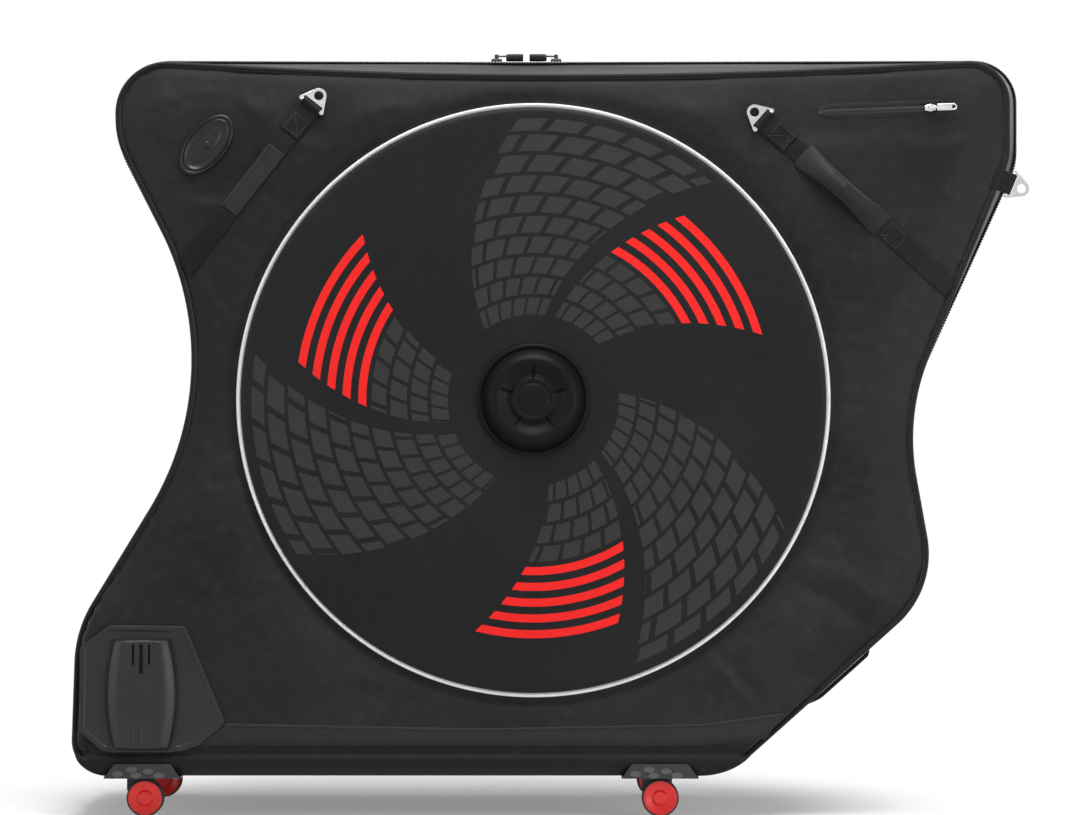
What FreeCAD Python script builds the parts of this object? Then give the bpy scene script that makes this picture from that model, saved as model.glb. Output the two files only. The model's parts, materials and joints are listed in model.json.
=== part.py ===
import FreeCAD
import Part
import math
import os

# Soft-sided travel case for a road bike, on four twin-wheel casters.
# Millimetres, +Z up. The length runs along X with the front at +X, and the near side faces -Y.
# The origin is on the floor under the middle of the case.

Vec = FreeCAD.Vector
ORIGIN = Vec(0, 0, 0)
X_AXIS = Vec(1, 0, 0)
Y_AXIS = Vec(0, 1, 0)
Z_AXIS = Vec(0, 0, 1)

# The rooms around the round wheel panel set the length and the height of the case
wheel_panel_radius = 350.0
rear_room = 194.0
front_room = 212.0
low_room = 92.0
top_room = 53.0
half_width = 222.0
floor_gap = 49.3
side_lean_deg = 1.5
body_length = rear_room + 2 * wheel_panel_radius + front_room
body_height = low_room + 2 * wheel_panel_radius + top_room
origin_share = 0.506

# Corners of the side seam, clockwise from the top rear: length, height and radius shares
seam_shares = [
    (0.045, 1.000, 0.072),
    (0.520, 0.965, 8.5),
    (1.000, 1.000, 0.058),
    (1.000, 0.860, 0.083),
    (0.888, 0.502, 0.300),
    (0.921, 0.260, 0.132),
    (0.6985, 0.000, 0.100),
    (0.000, 0.000, 0.050),
    (0.005, 0.203, 0.167),
    (0.171, 0.5605, 0.400),
    (0.047, 0.885, 0.125),
]
# The zip line in the middle plane, corner for corner: it bulges past the seam
zip_line_shares = [
    (0.038, 1.006, 0.072),
    (0.484, 1.004, 8.5),
    (1.018, 1.006, 0.058),
    (1.018, 0.860, 0.083),
    (0.894, 0.502, 0.300),
    (0.921, 0.260, 0.132),
    (0.6985, 0.000, 0.100),
    (-0.006, 0.000, 0.050),
    (-0.001, 0.203, 0.167),
    (0.167, 0.5605, 0.400),
    (0.040, 0.885, 0.125),
]
corner_names = ["top rear", "top middle", "top front", "shoulder", "front waist", "front hip", "front slope",
                "tail", "rear hip", "rear waist", "rear shoulder"]
FRONT_SLOPE_CORNER = corner_names.index("front slope")
TAIL_CORNER = corner_names.index("tail")
SHOULDER_CORNER = corner_names.index("shoulder")
ZIP_MIDDLE_CORNER = corner_names.index("top middle")

# Clearances and cuts
overrun = 60.0
seat_gap = 0.3
run_gap = 0.05
press_gap = 0.02

# Soft walls
panel_thickness = 14.0
panel_round = 10.0
gusset_thickness = 6.0
welt_radius = 2.9
welt_gap = 0.1
zip_gap = 0.4
tape_width = 15.0
tape_thickness = 1.2
teeth_width = 3.0
teeth_height = 3.0

# Base tub and the sewn bead that each side turns on
tub_height = 22.7
tub_wall = 4.0
tub_round = 18.0
bead_radius = 3.0
bead_setback = 8.0
rim_gap = 0.6

# Round wheel panel, its piping and the hub guard
panel_edge_height = 8.0
panel_crown = 13.0
panel_swell_share = 0.75
panel_edge_round = 5.0
piping_radius = 2.75
hub_radius = 66.0
hub_bead = 5.0
hub_bead_side_share = 0.6
hub_bead_top_share = 0.35
hub_groove_depth = 2.5
hub_groove_width = 1.6
hub_groove_slope_share = 0.3
hub_dome_height = 20.0
hub_dome_radius = 46.0
hub_flank_share = 0.72
hub_inner_share = 0.9
hub_valley_height = 13.0
hub_valley_radius = 31.0
hub_boss_height = 18.0
hub_boss_edge_share = 0.92
hub_boss_radius = 25.0
hub_cap_radius = 20.0
hub_notches = 5
hub_notch_length = 8.0
hub_notch_width = 2.4
hub_notch_depth = 3.0

# Wheel pocket inside each side
pocket_depth = 70.0
pocket_sheet = 3.0
pocket_inset = 6.0
pocket_mouth_share = 0.45

# Webbing straps, their loops and the triangle rings
web_width = 25.0
web_thickness = 2.0
loop_bore = 2.3
loop_wall = 2.0
fold_length = 42.0
rear_loop_shares = (0.2558, 0.9332)
rear_strap_deg = 232.0
front_loop_shares = (0.7367, 0.9124)
front_strap_deg = -41.8
ring_half_base = 19.0
ring_foot = 2.5
ring_triangle_height = 36.0
ring_foot_round = 2.5
ring_tip_round = 9.0
ring_thickness = 3.0
ring_hole_radius = 5.5
ring_hole_height = 14.2
ring_bar_radius = 2.0
ring_slot_side = 0.6
ring_slot_height = 5.2
ring_rest_deg = 5.5
tow_share = 0.085
tow_tab_length = 7.0

# Padded grip on the front strap: distance from the loop, length, and sections along it
grip_start = 60.0
grip_length = 128.0
grip_height = 26.0
grip_end_width = 32.0
grip_end_thickness = 6.0
grip_neck_width = 27.0
grip_neck_thickness = 14.0
grip_neck_height = 14.0
grip_neck_share = 0.2
grip_width = 22.4
grip_thickness = 22.0

# Grab strap on the lower front slope
grab_share = 0.51
grab_length = 118.0
grab_foot = 16.0
grab_rise = 18.0
grab_height = 10.0
grab_thickness = 3.0
grab_width = 38.0
grab_offset = 100.0

# Gear guard at the lower rear corner of the near side
guard_shares = [
    (0.0096, 0.1808),
    (0.0425, 0.2100),
    (0.1231, 0.2086),
    (0.1656, 0.0737),
    (0.1369, 0.0431),
    (0.1189, 0.0350),
    (0.0350, 0.0350),
    (0.0074, 0.0626),
]
guard_round = 6.0
guard_thickness = 3.5
guard_bevel = 1.6
pad_centre_shares = (0.0764, 0.1140)
pad_height = 124.0
pad_end_width = 65.0
pad_bulge = 9.0
pad_rise = 8.0
pad_crown = 4.0
pad_slot_length = 33.0
pad_slot_width = 3.4
pad_slot_depth = 2.0
pad_slot_pitch = 9.5
pad_slot_margin = 7.0
pad_side_slot_share = 0.7
pad_side_width_share = 0.6

# Skirt band along the lower edge, upper line from the rear, then lower line from the front
skirt_top_shares = [(0.1656, 0.0737), (0.4352, 0.0668), (0.6709, 0.0730), (0.7696, 0.0904)]
skirt_low_shares = [(0.7484, 0.0542), (0.6688, 0.0431), (0.1369, 0.0431)]
skirt_tail_shares = [(-0.01, 0.0431), (-0.01, 0.0737)]
skirt_thickness = 2.0

# Moulded oval fitting
vent_shares = (0.1444, 0.8783)
vent_deg = 51.0
vent_length = 84.0
vent_width = 46.0
vent_rim = 5.0
vent_rim_height = 5.0
vent_floor = 2.0
vent_blade_length = 62.0
vent_blade_width = 20.0
vent_blade_height = 4.0
vent_button_radius = 5.0
vent_button_height = 6.0

# Pocket zip
pocket_zip_shares = (0.8716, 0.9277)
pocket_zip_deg = 2.1
pocket_zip_length = 170.0
pocket_zip_width = 15.0
pocket_zip_tape = 1.0
pocket_teeth_width = 4.0
pocket_teeth_height = 1.4
pocket_slider_inset = 38.0

# Zip sliders and their pulls
slider_length = 13.0
slider_width = 9.0
slider_height = 3.4
slider_nose_share = 0.6
slider_round = 1.2
bail_radius = 1.2
bail_height = 3.0
eye_wall = 1.2
pull_length = 31.0
pull_width = 8.0
pull_thickness = 1.8
pull_hole_radius = 2.2
main_rear_slider = -36.0
main_front_slider = 36.0

# Caster brackets, screws and casters
rear_caster_share = 0.0770
front_caster_share = 0.6263
bracket_length = 90.0
bracket_top_length = 66.0
bracket_depth = 96.0
bracket_thickness = 2.3
flange_height = 17.0
flange_thickness = 4.0
flange_round = 4.0
oval_length = 13.0
oval_width = 7.0
oval_height = 0.8
oval_shares = [(-0.32, 0.32), (-0.14, 0.62), (-0.08, 0.22), (0.08, 0.5), (0.22, 0.22)]
screw_inset = 7.0
screw_head_radius = 3.6
screw_head_height = 1.6
screw_radius = 2.0
pivot_back = 10.0
trail = 11.0
wheel_radius = 21.8
wheel_width = 9.0
tyre_thickness = 2.0
tyre_bevel = 0.8
hub_dish = 2.4
hub_rim = 2.6
boss_radius = 8.6
boss_step = 1.2
axle_radius = 3.0
axle_cover = 2.0
fork_thickness = 7.0
wheel_side_gap = 0.5
swivel_radius = 14.0
swivel_thickness = 2.4
kingpin_radius = 4.0
kingpin_head_radius = 8.0
kingpin_head_height = 3.5
fork_shares = [
    (-0.495, 1.00, 0.07),
    (1.05, 1.00, 0.14),
    (0.92, 0.33, 0.33),
    (0.14, 0.30, 0.33),
    (-0.495, 0.70, 0.18),
]

# Bike stand inside the tub
rail_size = 20.0
rail_wall = 2.0
rail_spacing = 90.0
rail_start_share = 0.04
rail_end_share = 0.655
cross_width = 30.0
cross_thickness = 6.0
cross_shares = (0.10, 0.33, 0.56)
foot_thickness = 5.0
foot_overhang = 4.0
upright_thickness = 4.0
upright_spacing = 44.0
rear_axle_share = 0.082
rear_axle_height = 235.0
rear_foot_length = 120.0
rear_hub_length = 122.0
front_foot_share = 0.575
front_foot_length = 110.0
front_axle_share = 0.840
front_axle_height = 310.0
front_hub_length = 92.0
upright_head = 19.0
upright_corner_share = 0.95
upright_hole_share = 0.35
dummy_hub_radius = 13.0
dropout_radius = 4.9
dropout_length = 8.0
skewer_radius = 2.5
skewer_reach = 14.0
nut_radius = 9.0
nut_length = 11.0
nut_end_share = 0.8
cam_radius = 7.0
cam_width = 12.0
lever_length = 62.0
lever_width = 9.0
lever_thickness = 5.0
knob_radius = 16.0
knob_height = 13.0
knob_lobes = 6
knob_lobe_radius = 4.0
stud_radius = 4.0
stud_drop = 12.0
knob_back = 24.0

rim_z = floor_gap + tub_height
hinge_y = half_width - bead_radius
panel_inset = gusset_thickness
flat_inset = panel_inset + panel_round
wheel_panel_x = rear_room + wheel_panel_radius - origin_share * body_length
wheel_panel_z = floor_gap + low_room + wheel_panel_radius
loop_radius = loop_bore + loop_wall
loop_height = loop_radius


def x_at(share):
    return (share - origin_share) * body_length


def z_at(share):
    return floor_gap + share * body_height


def corners_of(shares):
    return [(x_at(a), z_at(b), c * body_height) for a, b, c in shares]


def edge_line(corners, index, inset):
    """Point and direction of the side that leaves a corner, moved inwards by the inset."""
    ax, az, _ = corners[index]
    bx, bz, _ = corners[(index + 1) % len(corners)]
    run = math.hypot(bx - ax, bz - az)
    dx = (bx - ax) / run
    dz = (bz - az) / run
    return ax + dz * inset, az - dx * inset, dx, dz


def outline_edges(corners, inset):
    """Arc and line of each corner in turn, for corners that run clockwise in X and Y."""
    points = []
    for i in range(len(corners)):
        px, pz, pdx, pdz = edge_line(corners, i - 1, inset)
        qx, qz, qdx, qdz = edge_line(corners, i, inset)
        cross = pdx * qdz - pdz * qdx
        along = ((qx - px) * qdz - (qz - pz) * qdx) / cross
        corner = Vec(px + pdx * along, pz + pdz * along, 0)
        turn = math.atan2(cross, pdx * qdx + pdz * qdz)
        radius = corners[i][2] + (inset if turn > 0 else -inset)
        reach = radius * math.tan(abs(turn) / 2)
        start = corner - Vec(pdx, pdz, 0) * reach
        end = corner + Vec(qdx, qdz, 0) * reach
        inwards = ((start + end) * 0.5 - corner).normalize()
        middle = corner + inwards * (radius / math.cos(turn / 2) - radius)
        points.append((start, middle, end))
    edges = []
    for i, (start, middle, end) in enumerate(points):
        edges.append(Part.Arc(start, middle, end).toShape())
        edges.append(Part.LineSegment(end, points[(i + 1) % len(points)][0]).toShape())
    return edges


def outline_wire(corners, inset=0):
    return Part.Wire(outline_edges(corners, inset))


def plate(corners, low, high, inset=0):
    """Prism of an outline, from one height to another out of its plane."""
    face = Part.Face(outline_wire(corners, inset))
    face.translate(Vec(0, 0, low))
    return face.extrude(Vec(0, 0, high - low))


def polygon_plate(points, low, high):
    ring = [Vec(x, y, low) for x, y in points]
    return Part.Face(Part.makePolygon(ring + ring[:1])).extrude(Vec(0, 0, high - low))


def block(x0, y0, z0, x1, y1, z1):
    return Part.makeBox(x1 - x0, y1 - y0, z1 - z0, Vec(x0, y0, z0))


def turned(points):
    """Revolves a profile of radius and height about the Z axis."""
    ring = [Vec(r, 0, h) for r, h in points]
    return Part.Face(Part.makePolygon(ring + ring[:1])).revolve(ORIGIN, Z_AXIS, 360)


def upright(shape):
    """Stands a flat shape up: its Y becomes Z, and its Z faces -Y."""
    stood = shape.copy()
    stood.rotate(ORIGIN, X_AXIS, 90)
    return stood


def near_place(shape):
    """From face axes (X along, Y up, Z outwards) to the leaning near side."""
    placed = upright(shape)
    placed.translate(Vec(0, -half_width, 0))
    placed.rotate(Vec(0, -hinge_y, rim_z), X_AXIS, -side_lean_deg)
    return placed


def mirrored(shape):
    return shape.mirror(ORIGIN, Y_AXIS)


def on_face(shape, x, z, angle):
    """Turns a shape in face axes by an angle and moves it to its place on the face."""
    moved = shape.copy()
    moved.rotate(ORIGIN, Z_AXIS, angle)
    moved.translate(Vec(x, z, 0))
    return moved


def sill_cut():
    """Everything below the lower edge of the side, which clears the bead."""
    sill = rim_z + bead_radius + seat_gap
    return block(-body_length, -overrun, -half_width, body_length, sill, half_width)


def face_window(inset):
    """Prism of the side's face, for trimming what is sewn on it."""
    return plate(corners_of(seam_shares), -overrun, overrun, inset).cut(sill_cut())


def side_panel():
    """Padded panel, its outer shoulder rounded all along the seam."""
    solid = plate(corners_of(seam_shares), -panel_thickness, 0, panel_inset)
    rim = [e for e in solid.Edges if e.BoundBox.ZMin > -seat_gap]
    return solid.makeFillet(panel_round, rim).cut(sill_cut())


def gusset_core(inset):
    """Ruled solid between the seam and the zip line, at one depth into the gusset."""
    seam = outline_wire(corners_of(seam_shares), inset)
    seam.translate(Vec(0, 0, -panel_thickness))
    line = upright(outline_wire(corners_of(zip_line_shares), inset))
    line.translate(Vec(0, -zip_gap, 0))
    return Part.makeLoft([near_place(seam), line], True, True)


def gusset():
    """Soft band over the top and both ends, open towards the base."""
    band = gusset_core(0).cut(gusset_core(gusset_thickness))
    return band.cut(below(rim_z + rim_gap))


def below(height):
    return block(-body_length, -2 * half_width, -overrun, body_length, 2 * half_width, height)


def welt():
    """Piping in the seam, from the tail of the case over the top to the front slope."""
    edges = outline_edges(corners_of(seam_shares), welt_radius + welt_gap)
    first = 2 * TAIL_CORNER + 1
    order = edges[first:] + edges[:2 * FRONT_SLOPE_CORNER]
    path = Part.Wire(order)
    path.translate(Vec(0, 0, welt_radius + welt_gap - panel_thickness))
    start = path.Edges[0]
    place = start.valueAt(start.FirstParameter)
    circle = Part.Wire(Part.Circle(place, start.tangentAt(start.FirstParameter), welt_radius).toShape())
    return path.makePipeShell([circle], True, False).cut(sill_cut())


def zip_half():
    corners = corners_of(zip_line_shares)
    tape = plate(corners, zip_gap, tape_width, -tape_thickness)
    teeth = plate(corners, zip_gap, teeth_width, -teeth_height)
    inside = plate(corners, zip_gap - overrun, tape_width + overrun, -seat_gap)
    ring = upright(tape.fuse(teeth).cut(inside).removeSplitter())
    return ring.cut(below(rim_z + rim_gap))


def wheel_panel():
    """Shallow dome with a rounded edge and a flat seat for the hub guard."""
    edge = wheel_panel_radius - 2 * piping_radius
    points = [Vec(0, 0, 0), Vec(edge, 0, 0), Vec(edge, 0, panel_edge_height - panel_edge_round)]
    shoulder = Vec(edge - panel_edge_round, 0, panel_edge_height)
    bend = panel_edge_round * (1 - math.sqrt(0.5))
    corner = Vec(edge - bend, 0, panel_edge_height - bend)
    seat = Vec(hub_radius, 0, panel_crown)
    swell_z = shoulder.z + (seat.z - shoulder.z) * panel_swell_share
    swell = Vec((shoulder.x + seat.x) / 2, 0, swell_z)
    top = Vec(0, 0, panel_crown)
    edges = [Part.LineSegment(a, b).toShape() for a, b in zip(points, points[1:])]
    edges.append(Part.Arc(points[-1], corner, shoulder).toShape())
    edges.append(Part.Arc(shoulder, swell, seat).toShape())
    edges.append(Part.LineSegment(seat, top).toShape())
    edges.append(Part.LineSegment(top, points[0]).toShape())
    dome = Part.Face(Part.Wire(edges)).revolve(ORIGIN, Z_AXIS, 360)
    return on_face(dome, wheel_panel_x, wheel_panel_z, 0)


def wheel_piping():
    ring = Part.makeTorus(wheel_panel_radius - piping_radius, piping_radius - welt_gap)
    ring.translate(Vec(0, 0, piping_radius))
    return on_face(ring, wheel_panel_x, wheel_panel_z, 0)


def hub_guard():
    """Moulded cap: a rim bead, a groove, a dome, a valley and a boss with short radial notches."""
    groove = hub_radius - hub_bead
    floor = hub_bead - hub_groove_depth
    profile = [
        (0, 0),
        (hub_radius, 0),
        (hub_radius, hub_bead * hub_bead_side_share),
        (hub_radius - hub_bead * hub_bead_top_share, hub_bead),
        (groove, hub_bead),
        (groove - hub_groove_width * hub_groove_slope_share, floor),
        (groove - hub_groove_width, floor),
        ((groove + hub_dome_radius) / 2, hub_dome_height * hub_flank_share),
        (hub_dome_radius, hub_dome_height),
        ((hub_dome_radius + hub_valley_radius) / 2, hub_dome_height * hub_inner_share),
        (hub_valley_radius, hub_valley_height),
        (hub_boss_radius, hub_boss_height * hub_boss_edge_share),
        (hub_cap_radius, hub_boss_height),
        (0, hub_boss_height),
    ]
    cap = turned(profile)
    notch = block(hub_boss_radius, -hub_notch_width / 2, hub_valley_height - hub_notch_depth,
                  hub_boss_radius + hub_notch_length, hub_notch_width / 2, hub_dome_height)
    for i in range(hub_notches):
        cut = notch.copy()
        cut.rotate(ORIGIN, Z_AXIS, 90 + i * 360 / hub_notches)
        cap = cap.cut(cut)
    cap.translate(Vec(0, 0, panel_crown))
    return on_face(cap, wheel_panel_x, wheel_panel_z, 0)


def wheel_pocket():
    """Open-topped pocket on the inner face of the side, a size smaller than the wheel panel."""
    radius = wheel_panel_radius - pocket_inset
    floor = -panel_thickness
    back = floor - pocket_depth
    cup = turned([
        (radius, floor),
        (radius, back),
        (0, back),
        (0, back + pocket_sheet),
        (radius - pocket_sheet, back + pocket_sheet),
        (radius - pocket_sheet, floor),
    ])
    mouth = pocket_mouth_share * radius
    cut = block(-body_length, mouth, back - overrun, body_length, radius + overrun, floor + overrun)
    return on_face(cup.cut(cut), wheel_panel_x, wheel_panel_z, 0)


def webbing_loop():
    """Loop of webbing round a ring's bar, its axis along X."""
    tube = Part.makeCylinder(loop_radius, web_width).cut(Part.makeCylinder(loop_bore, web_width))
    tube.rotate(ORIGIN, Y_AXIS, 90)
    tube.translate(Vec(-web_width / 2, 0, loop_height))
    return tube


def strap(loop_shares, angle):
    """Webbing from its loop over the flat of the side to the edge, folded back and sewn at the loop."""
    half = web_width / 2
    run = block(-half, -body_height, 0, half, 0, web_thickness)
    fold = block(-half, -fold_length, web_thickness, half, -loop_radius, 2 * web_thickness)
    tail = block(-half, -fold_length, 0, half, 0, web_thickness)
    bore = Part.makeCylinder(loop_bore, web_width)
    bore.rotate(ORIGIN, Y_AXIS, 90)
    bore.translate(Vec(-half, 0, loop_height))
    whole = webbing_loop().fuse([tail, fold, run]).cut(bore).removeSplitter()
    placed = on_face(whole, x_at(loop_shares[0]), z_at(loop_shares[1]), angle + 90)
    return placed.common(face_window(flat_inset))


def triangle_ring():
    """Flat ring in its own axes: the bar along X, the tip towards +Y."""
    corners = [
        (-ring_half_base, -ring_foot, ring_foot_round),
        (0, ring_triangle_height - ring_foot, ring_tip_round),
        (ring_half_base, -ring_foot, ring_foot_round),
    ]
    flat = plate(corners, -ring_thickness / 2, ring_thickness / 2)
    half_slot = web_width / 2 + ring_slot_side
    slot = block(-half_slot, -overrun, -overrun, half_slot, ring_slot_height, overrun)
    hole = Part.makeCylinder(ring_hole_radius, 2 * overrun, Vec(0, ring_hole_height, -overrun))
    bar_length = 2 * half_slot + ring_foot
    bar = Part.makeCylinder(ring_bar_radius, bar_length, Vec(-bar_length / 2, 0, 0), X_AXIS)
    return flat.cut(slot).cut(hole).fuse(bar).removeSplitter()


def side_ring(loop_shares, angle):
    """Ring in the loop at the head of its strap, in line with it and leaning on the side."""
    ring = triangle_ring()
    ring.rotate(ORIGIN, X_AXIS, -ring_rest_deg)
    ring.translate(Vec(0, 0, loop_height))
    return on_face(ring, x_at(loop_shares[0]), z_at(loop_shares[1]), angle + 90)


def seam_point(corner, share, inset=0):
    """A point along the side that leaves a corner of the seam, and that side's angle."""
    corners = corners_of(seam_shares)
    ax, az, dx, dz = edge_line(corners, corner, inset)
    bx, bz, _ = corners[(corner + 1) % len(corners)]
    run = math.hypot(bx - corners[corner][0], bz - corners[corner][1]) * share
    return ax + dx * run, az + dz * run, math.degrees(math.atan2(dz, dx))


def tow_axis():
    """Place of the tow ring's bar in face axes, and the way that the ring points."""
    reach = tow_tab_length + loop_radius
    x, z, angle = seam_point(SHOULDER_CORNER, tow_share, -reach)
    return x, z, angle + 90


def tow_tab():
    half = web_width / 2
    depth = welt_radius + welt_gap - panel_thickness
    tail = block(-half, -tow_tab_length - loop_radius + welt_gap, -web_thickness / 2,
                 half, -loop_bore, web_thickness / 2)
    tube = webbing_loop()
    tube.translate(Vec(0, 0, -loop_height))
    tab = tube.fuse(tail).removeSplitter()
    tab.translate(Vec(0, 0, depth))
    x, z, angle = tow_axis()
    return on_face(tab, x, z, angle - 90)


def tow_ring():
    ring = triangle_ring()
    ring.translate(Vec(0, 0, welt_radius + welt_gap - panel_thickness))
    x, z, angle = tow_axis()
    return on_face(ring, x, z, angle - 90)


def grip_section(at, width, thickness, height):
    """Ellipse across the strap, at a distance from the loop and a height off the side."""
    ellipse = Part.Ellipse(ORIGIN, max(width, thickness) / 2, min(width, thickness) / 2)
    wire = Part.Wire(ellipse.toShape())
    wire.rotate(ORIGIN, X_AXIS, 90)
    wire.translate(Vec(0, -at, height))
    return wire


def grip():
    """Padded handle that bows out from the front strap and flattens at its sewn ends."""
    end_height = web_thickness + seat_gap + grip_end_thickness / 2
    middle = grip_start + grip_length / 2
    neck = grip_length * grip_neck_share
    sections = [
        grip_section(grip_start, grip_end_width, grip_end_thickness, end_height),
        grip_section(grip_start + neck, grip_neck_width, grip_neck_thickness, grip_neck_height),
        grip_section(middle, grip_width, grip_thickness, grip_height),
        grip_section(grip_start + grip_length - neck, grip_neck_width, grip_neck_thickness,
                     grip_neck_height),
        grip_section(grip_start + grip_length, grip_end_width, grip_end_thickness, end_height),
    ]
    solid = Part.makeLoft(sections, True, False)
    return on_face(solid, x_at(front_loop_shares[0]), z_at(front_loop_shares[1]),
                   front_strap_deg + 90)


def grab_strap():
    """Arched strap along the front slope, feet flat on the gusset."""
    half = grab_length / 2
    flat = half - grab_foot
    crest = flat - grab_rise
    inner = grab_height - grab_thickness
    profile = [
        (-half, 0), (-half, grab_thickness), (-flat, grab_thickness), (-crest, grab_height),
        (crest, grab_height), (flat, grab_thickness), (half, grab_thickness), (half, 0),
        (flat, 0), (crest, inner), (-crest, inner), (-flat, 0),
    ]
    x, z, angle = seam_point(FRONT_SLOPE_CORNER - 1, 1 - grab_share, -seat_gap)
    arch = polygon_plate(profile, grab_offset, grab_offset + grab_width)
    return upright(on_face(arch, x, z, angle))


def gear_guard():
    """Bevelled plate with a crowned barrel pad and slots at both ends of the pad."""
    corners = [(x_at(a), z_at(b), guard_round) for a, b in guard_shares]
    base = plate(corners, 0, guard_thickness)
    rim = [e for e in base.Edges if e.BoundBox.ZMin > guard_thickness - seat_gap]
    base = base.makeChamfer(guard_bevel, rim)
    half = pad_height / 2
    side = pad_end_width / 2
    bulge = side + pad_bulge
    ends = [Vec(-side, -half, 0), Vec(-side, half, 0), Vec(side, half, 0), Vec(side, -half, 0)]
    barrel = Part.Wire([
        Part.Arc(ends[0], Vec(-bulge, 0, 0), ends[1]).toShape(),
        Part.LineSegment(ends[1], ends[2]).toShape(),
        Part.Arc(ends[2], Vec(bulge, 0, 0), ends[3]).toShape(),
        Part.LineSegment(ends[3], ends[0]).toShape(),
    ])
    top = guard_thickness + pad_rise
    pad = Part.Face(barrel).extrude(Vec(0, 0, top))
    radius = (bulge ** 2 + pad_crown ** 2) / (2 * pad_crown)
    pad = pad.common(Part.makeCylinder(radius, pad_height, Vec(0, -half, top - radius), Y_AXIS))
    for end in (-1, 1):
        for place in (-1, 0, 1):
            long = pad_slot_length * (pad_side_slot_share if place else 1)
            wide = pad_slot_width * (pad_side_width_share if place else 1)
            far = end * (half - pad_slot_margin)
            near = far - end * long
            middle = place * pad_slot_pitch
            pad = pad.cut(block(middle - wide / 2, min(near, far), top - pad_slot_depth,
                                middle + wide / 2, max(near, far), top + overrun))
    pad = on_face(pad, x_at(pad_centre_shares[0]), z_at(pad_centre_shares[1]), 0)
    return base.fuse(pad).common(face_window(panel_inset)).removeSplitter()


def skirt(tail):
    """Band sewn along the lower edge: full length, or stopped at the gear guard."""
    points = [(x_at(a), z_at(b)) for a, b in skirt_top_shares + skirt_low_shares + tail]
    band = polygon_plate(points, 0, skirt_thickness)
    return band.common(face_window(flat_inset))


def ellipse_plate(length, width, low, high):
    wire = Part.Wire(Part.Ellipse(ORIGIN, length / 2, width / 2).toShape())
    wire.translate(Vec(0, 0, low))
    return Part.Face(wire).extrude(Vec(0, 0, high - low))


def vent_fitting():
    """Oval moulding: a rim round a shallow well, a lens-shaped blade across it and a button."""
    whole = ellipse_plate(vent_length, vent_width, 0, vent_rim_height)
    well = ellipse_plate(vent_length - 2 * vent_rim, vent_width - 2 * vent_rim, vent_floor, overrun)
    half = vent_blade_length / 2
    bow = vent_blade_width / 2
    lens = Part.Wire([
        Part.Arc(Vec(-half, 0, 0), Vec(0, bow, 0), Vec(half, 0, 0)).toShape(),
        Part.Arc(Vec(half, 0, 0), Vec(0, -bow, 0), Vec(-half, 0, 0)).toShape(),
    ])
    blade = Part.Face(lens).extrude(Vec(0, 0, vent_blade_height))
    button = Part.makeCylinder(vent_button_radius, vent_button_height)
    solid = whole.cut(well).fuse([blade, button]).removeSplitter()
    return on_face(solid, x_at(vent_shares[0]), z_at(vent_shares[1]), vent_deg)


def pocket_zip():
    half = pocket_zip_length / 2
    tape = block(-half, -pocket_zip_width / 2, 0, half, pocket_zip_width / 2, pocket_zip_tape)
    teeth = block(-half, -pocket_teeth_width / 2, pocket_zip_tape,
                  half, pocket_teeth_width / 2, pocket_zip_tape + pocket_teeth_height)
    return on_face(tape.fuse(teeth).removeSplitter(), x_at(pocket_zip_shares[0]),
                   z_at(pocket_zip_shares[1]), pocket_zip_deg)


def zip_slider(base):
    """Slider body on the teeth with a bail on top; it runs along X, its nose towards +X."""
    half = slider_length / 2
    wide = slider_width / 2
    nose = wide * slider_nose_share
    outline = [(-half, -nose), (-half, nose), (0, wide), (half, nose), (half, -nose), (0, -wide)]
    body = polygon_plate(outline, base, base + slider_height)
    top = [e for e in body.Edges if e.BoundBox.ZMin > base + slider_height - seat_gap]
    body = body.makeChamfer(slider_round, top)
    axis_z = base + slider_height + bail_height
    cheek = block(-bail_radius - eye_wall, nose - eye_wall, base + slider_height - slider_round,
                  bail_radius + eye_wall, nose, axis_z + bail_radius + eye_wall / 2)
    other = cheek.mirror(ORIGIN, Y_AXIS)
    pin = Part.makeCylinder(bail_radius, 2 * nose - eye_wall, Vec(0, eye_wall / 2 - nose, axis_z), Y_AXIS)
    return body.fuse([cheek, other, pin]).removeSplitter()


def zip_pull(base):
    """Tab that hangs on the bail and lies along +X over the teeth."""
    axis_z = base + slider_height + bail_height
    gap = 2 * (slider_width / 2 * slider_nose_share - eye_wall - seat_gap)
    eye = Part.makeCylinder(bail_radius + run_gap + eye_wall, gap, Vec(0, -gap / 2, axis_z), Y_AXIS)
    bore = Part.makeCylinder(bail_radius + run_gap, gap, Vec(0, -gap / 2, axis_z), Y_AXIS)
    neck = block(0, -gap / 2, axis_z - pull_thickness / 2,
                 slider_length / 2 + eye_wall, gap / 2, axis_z + pull_thickness / 2)
    half = pull_width / 2
    start = slider_length / 2 + eye_wall
    tab = block(start, -half, axis_z - pull_thickness / 2,
                pull_length - half, half, axis_z + pull_thickness / 2)
    tip = Part.makeCylinder(half, pull_thickness, Vec(pull_length - half, 0, axis_z - pull_thickness / 2))
    hole = Part.makeCylinder(pull_hole_radius, 2 * overrun, Vec(pull_length - half, 0, -overrun))
    return eye.fuse([neck, tab, tip]).cut(bore).cut(hole).removeSplitter()


def pocket_slider_place(shape):
    """Slider of the closed pocket zip, its pull lying on towards the front."""
    moved = shape.copy()
    moved.translate(Vec(pocket_zip_length / 2 - pocket_slider_inset, 0, 0))
    return on_face(moved, x_at(pocket_zip_shares[0]), z_at(pocket_zip_shares[1]), pocket_zip_deg)


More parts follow.
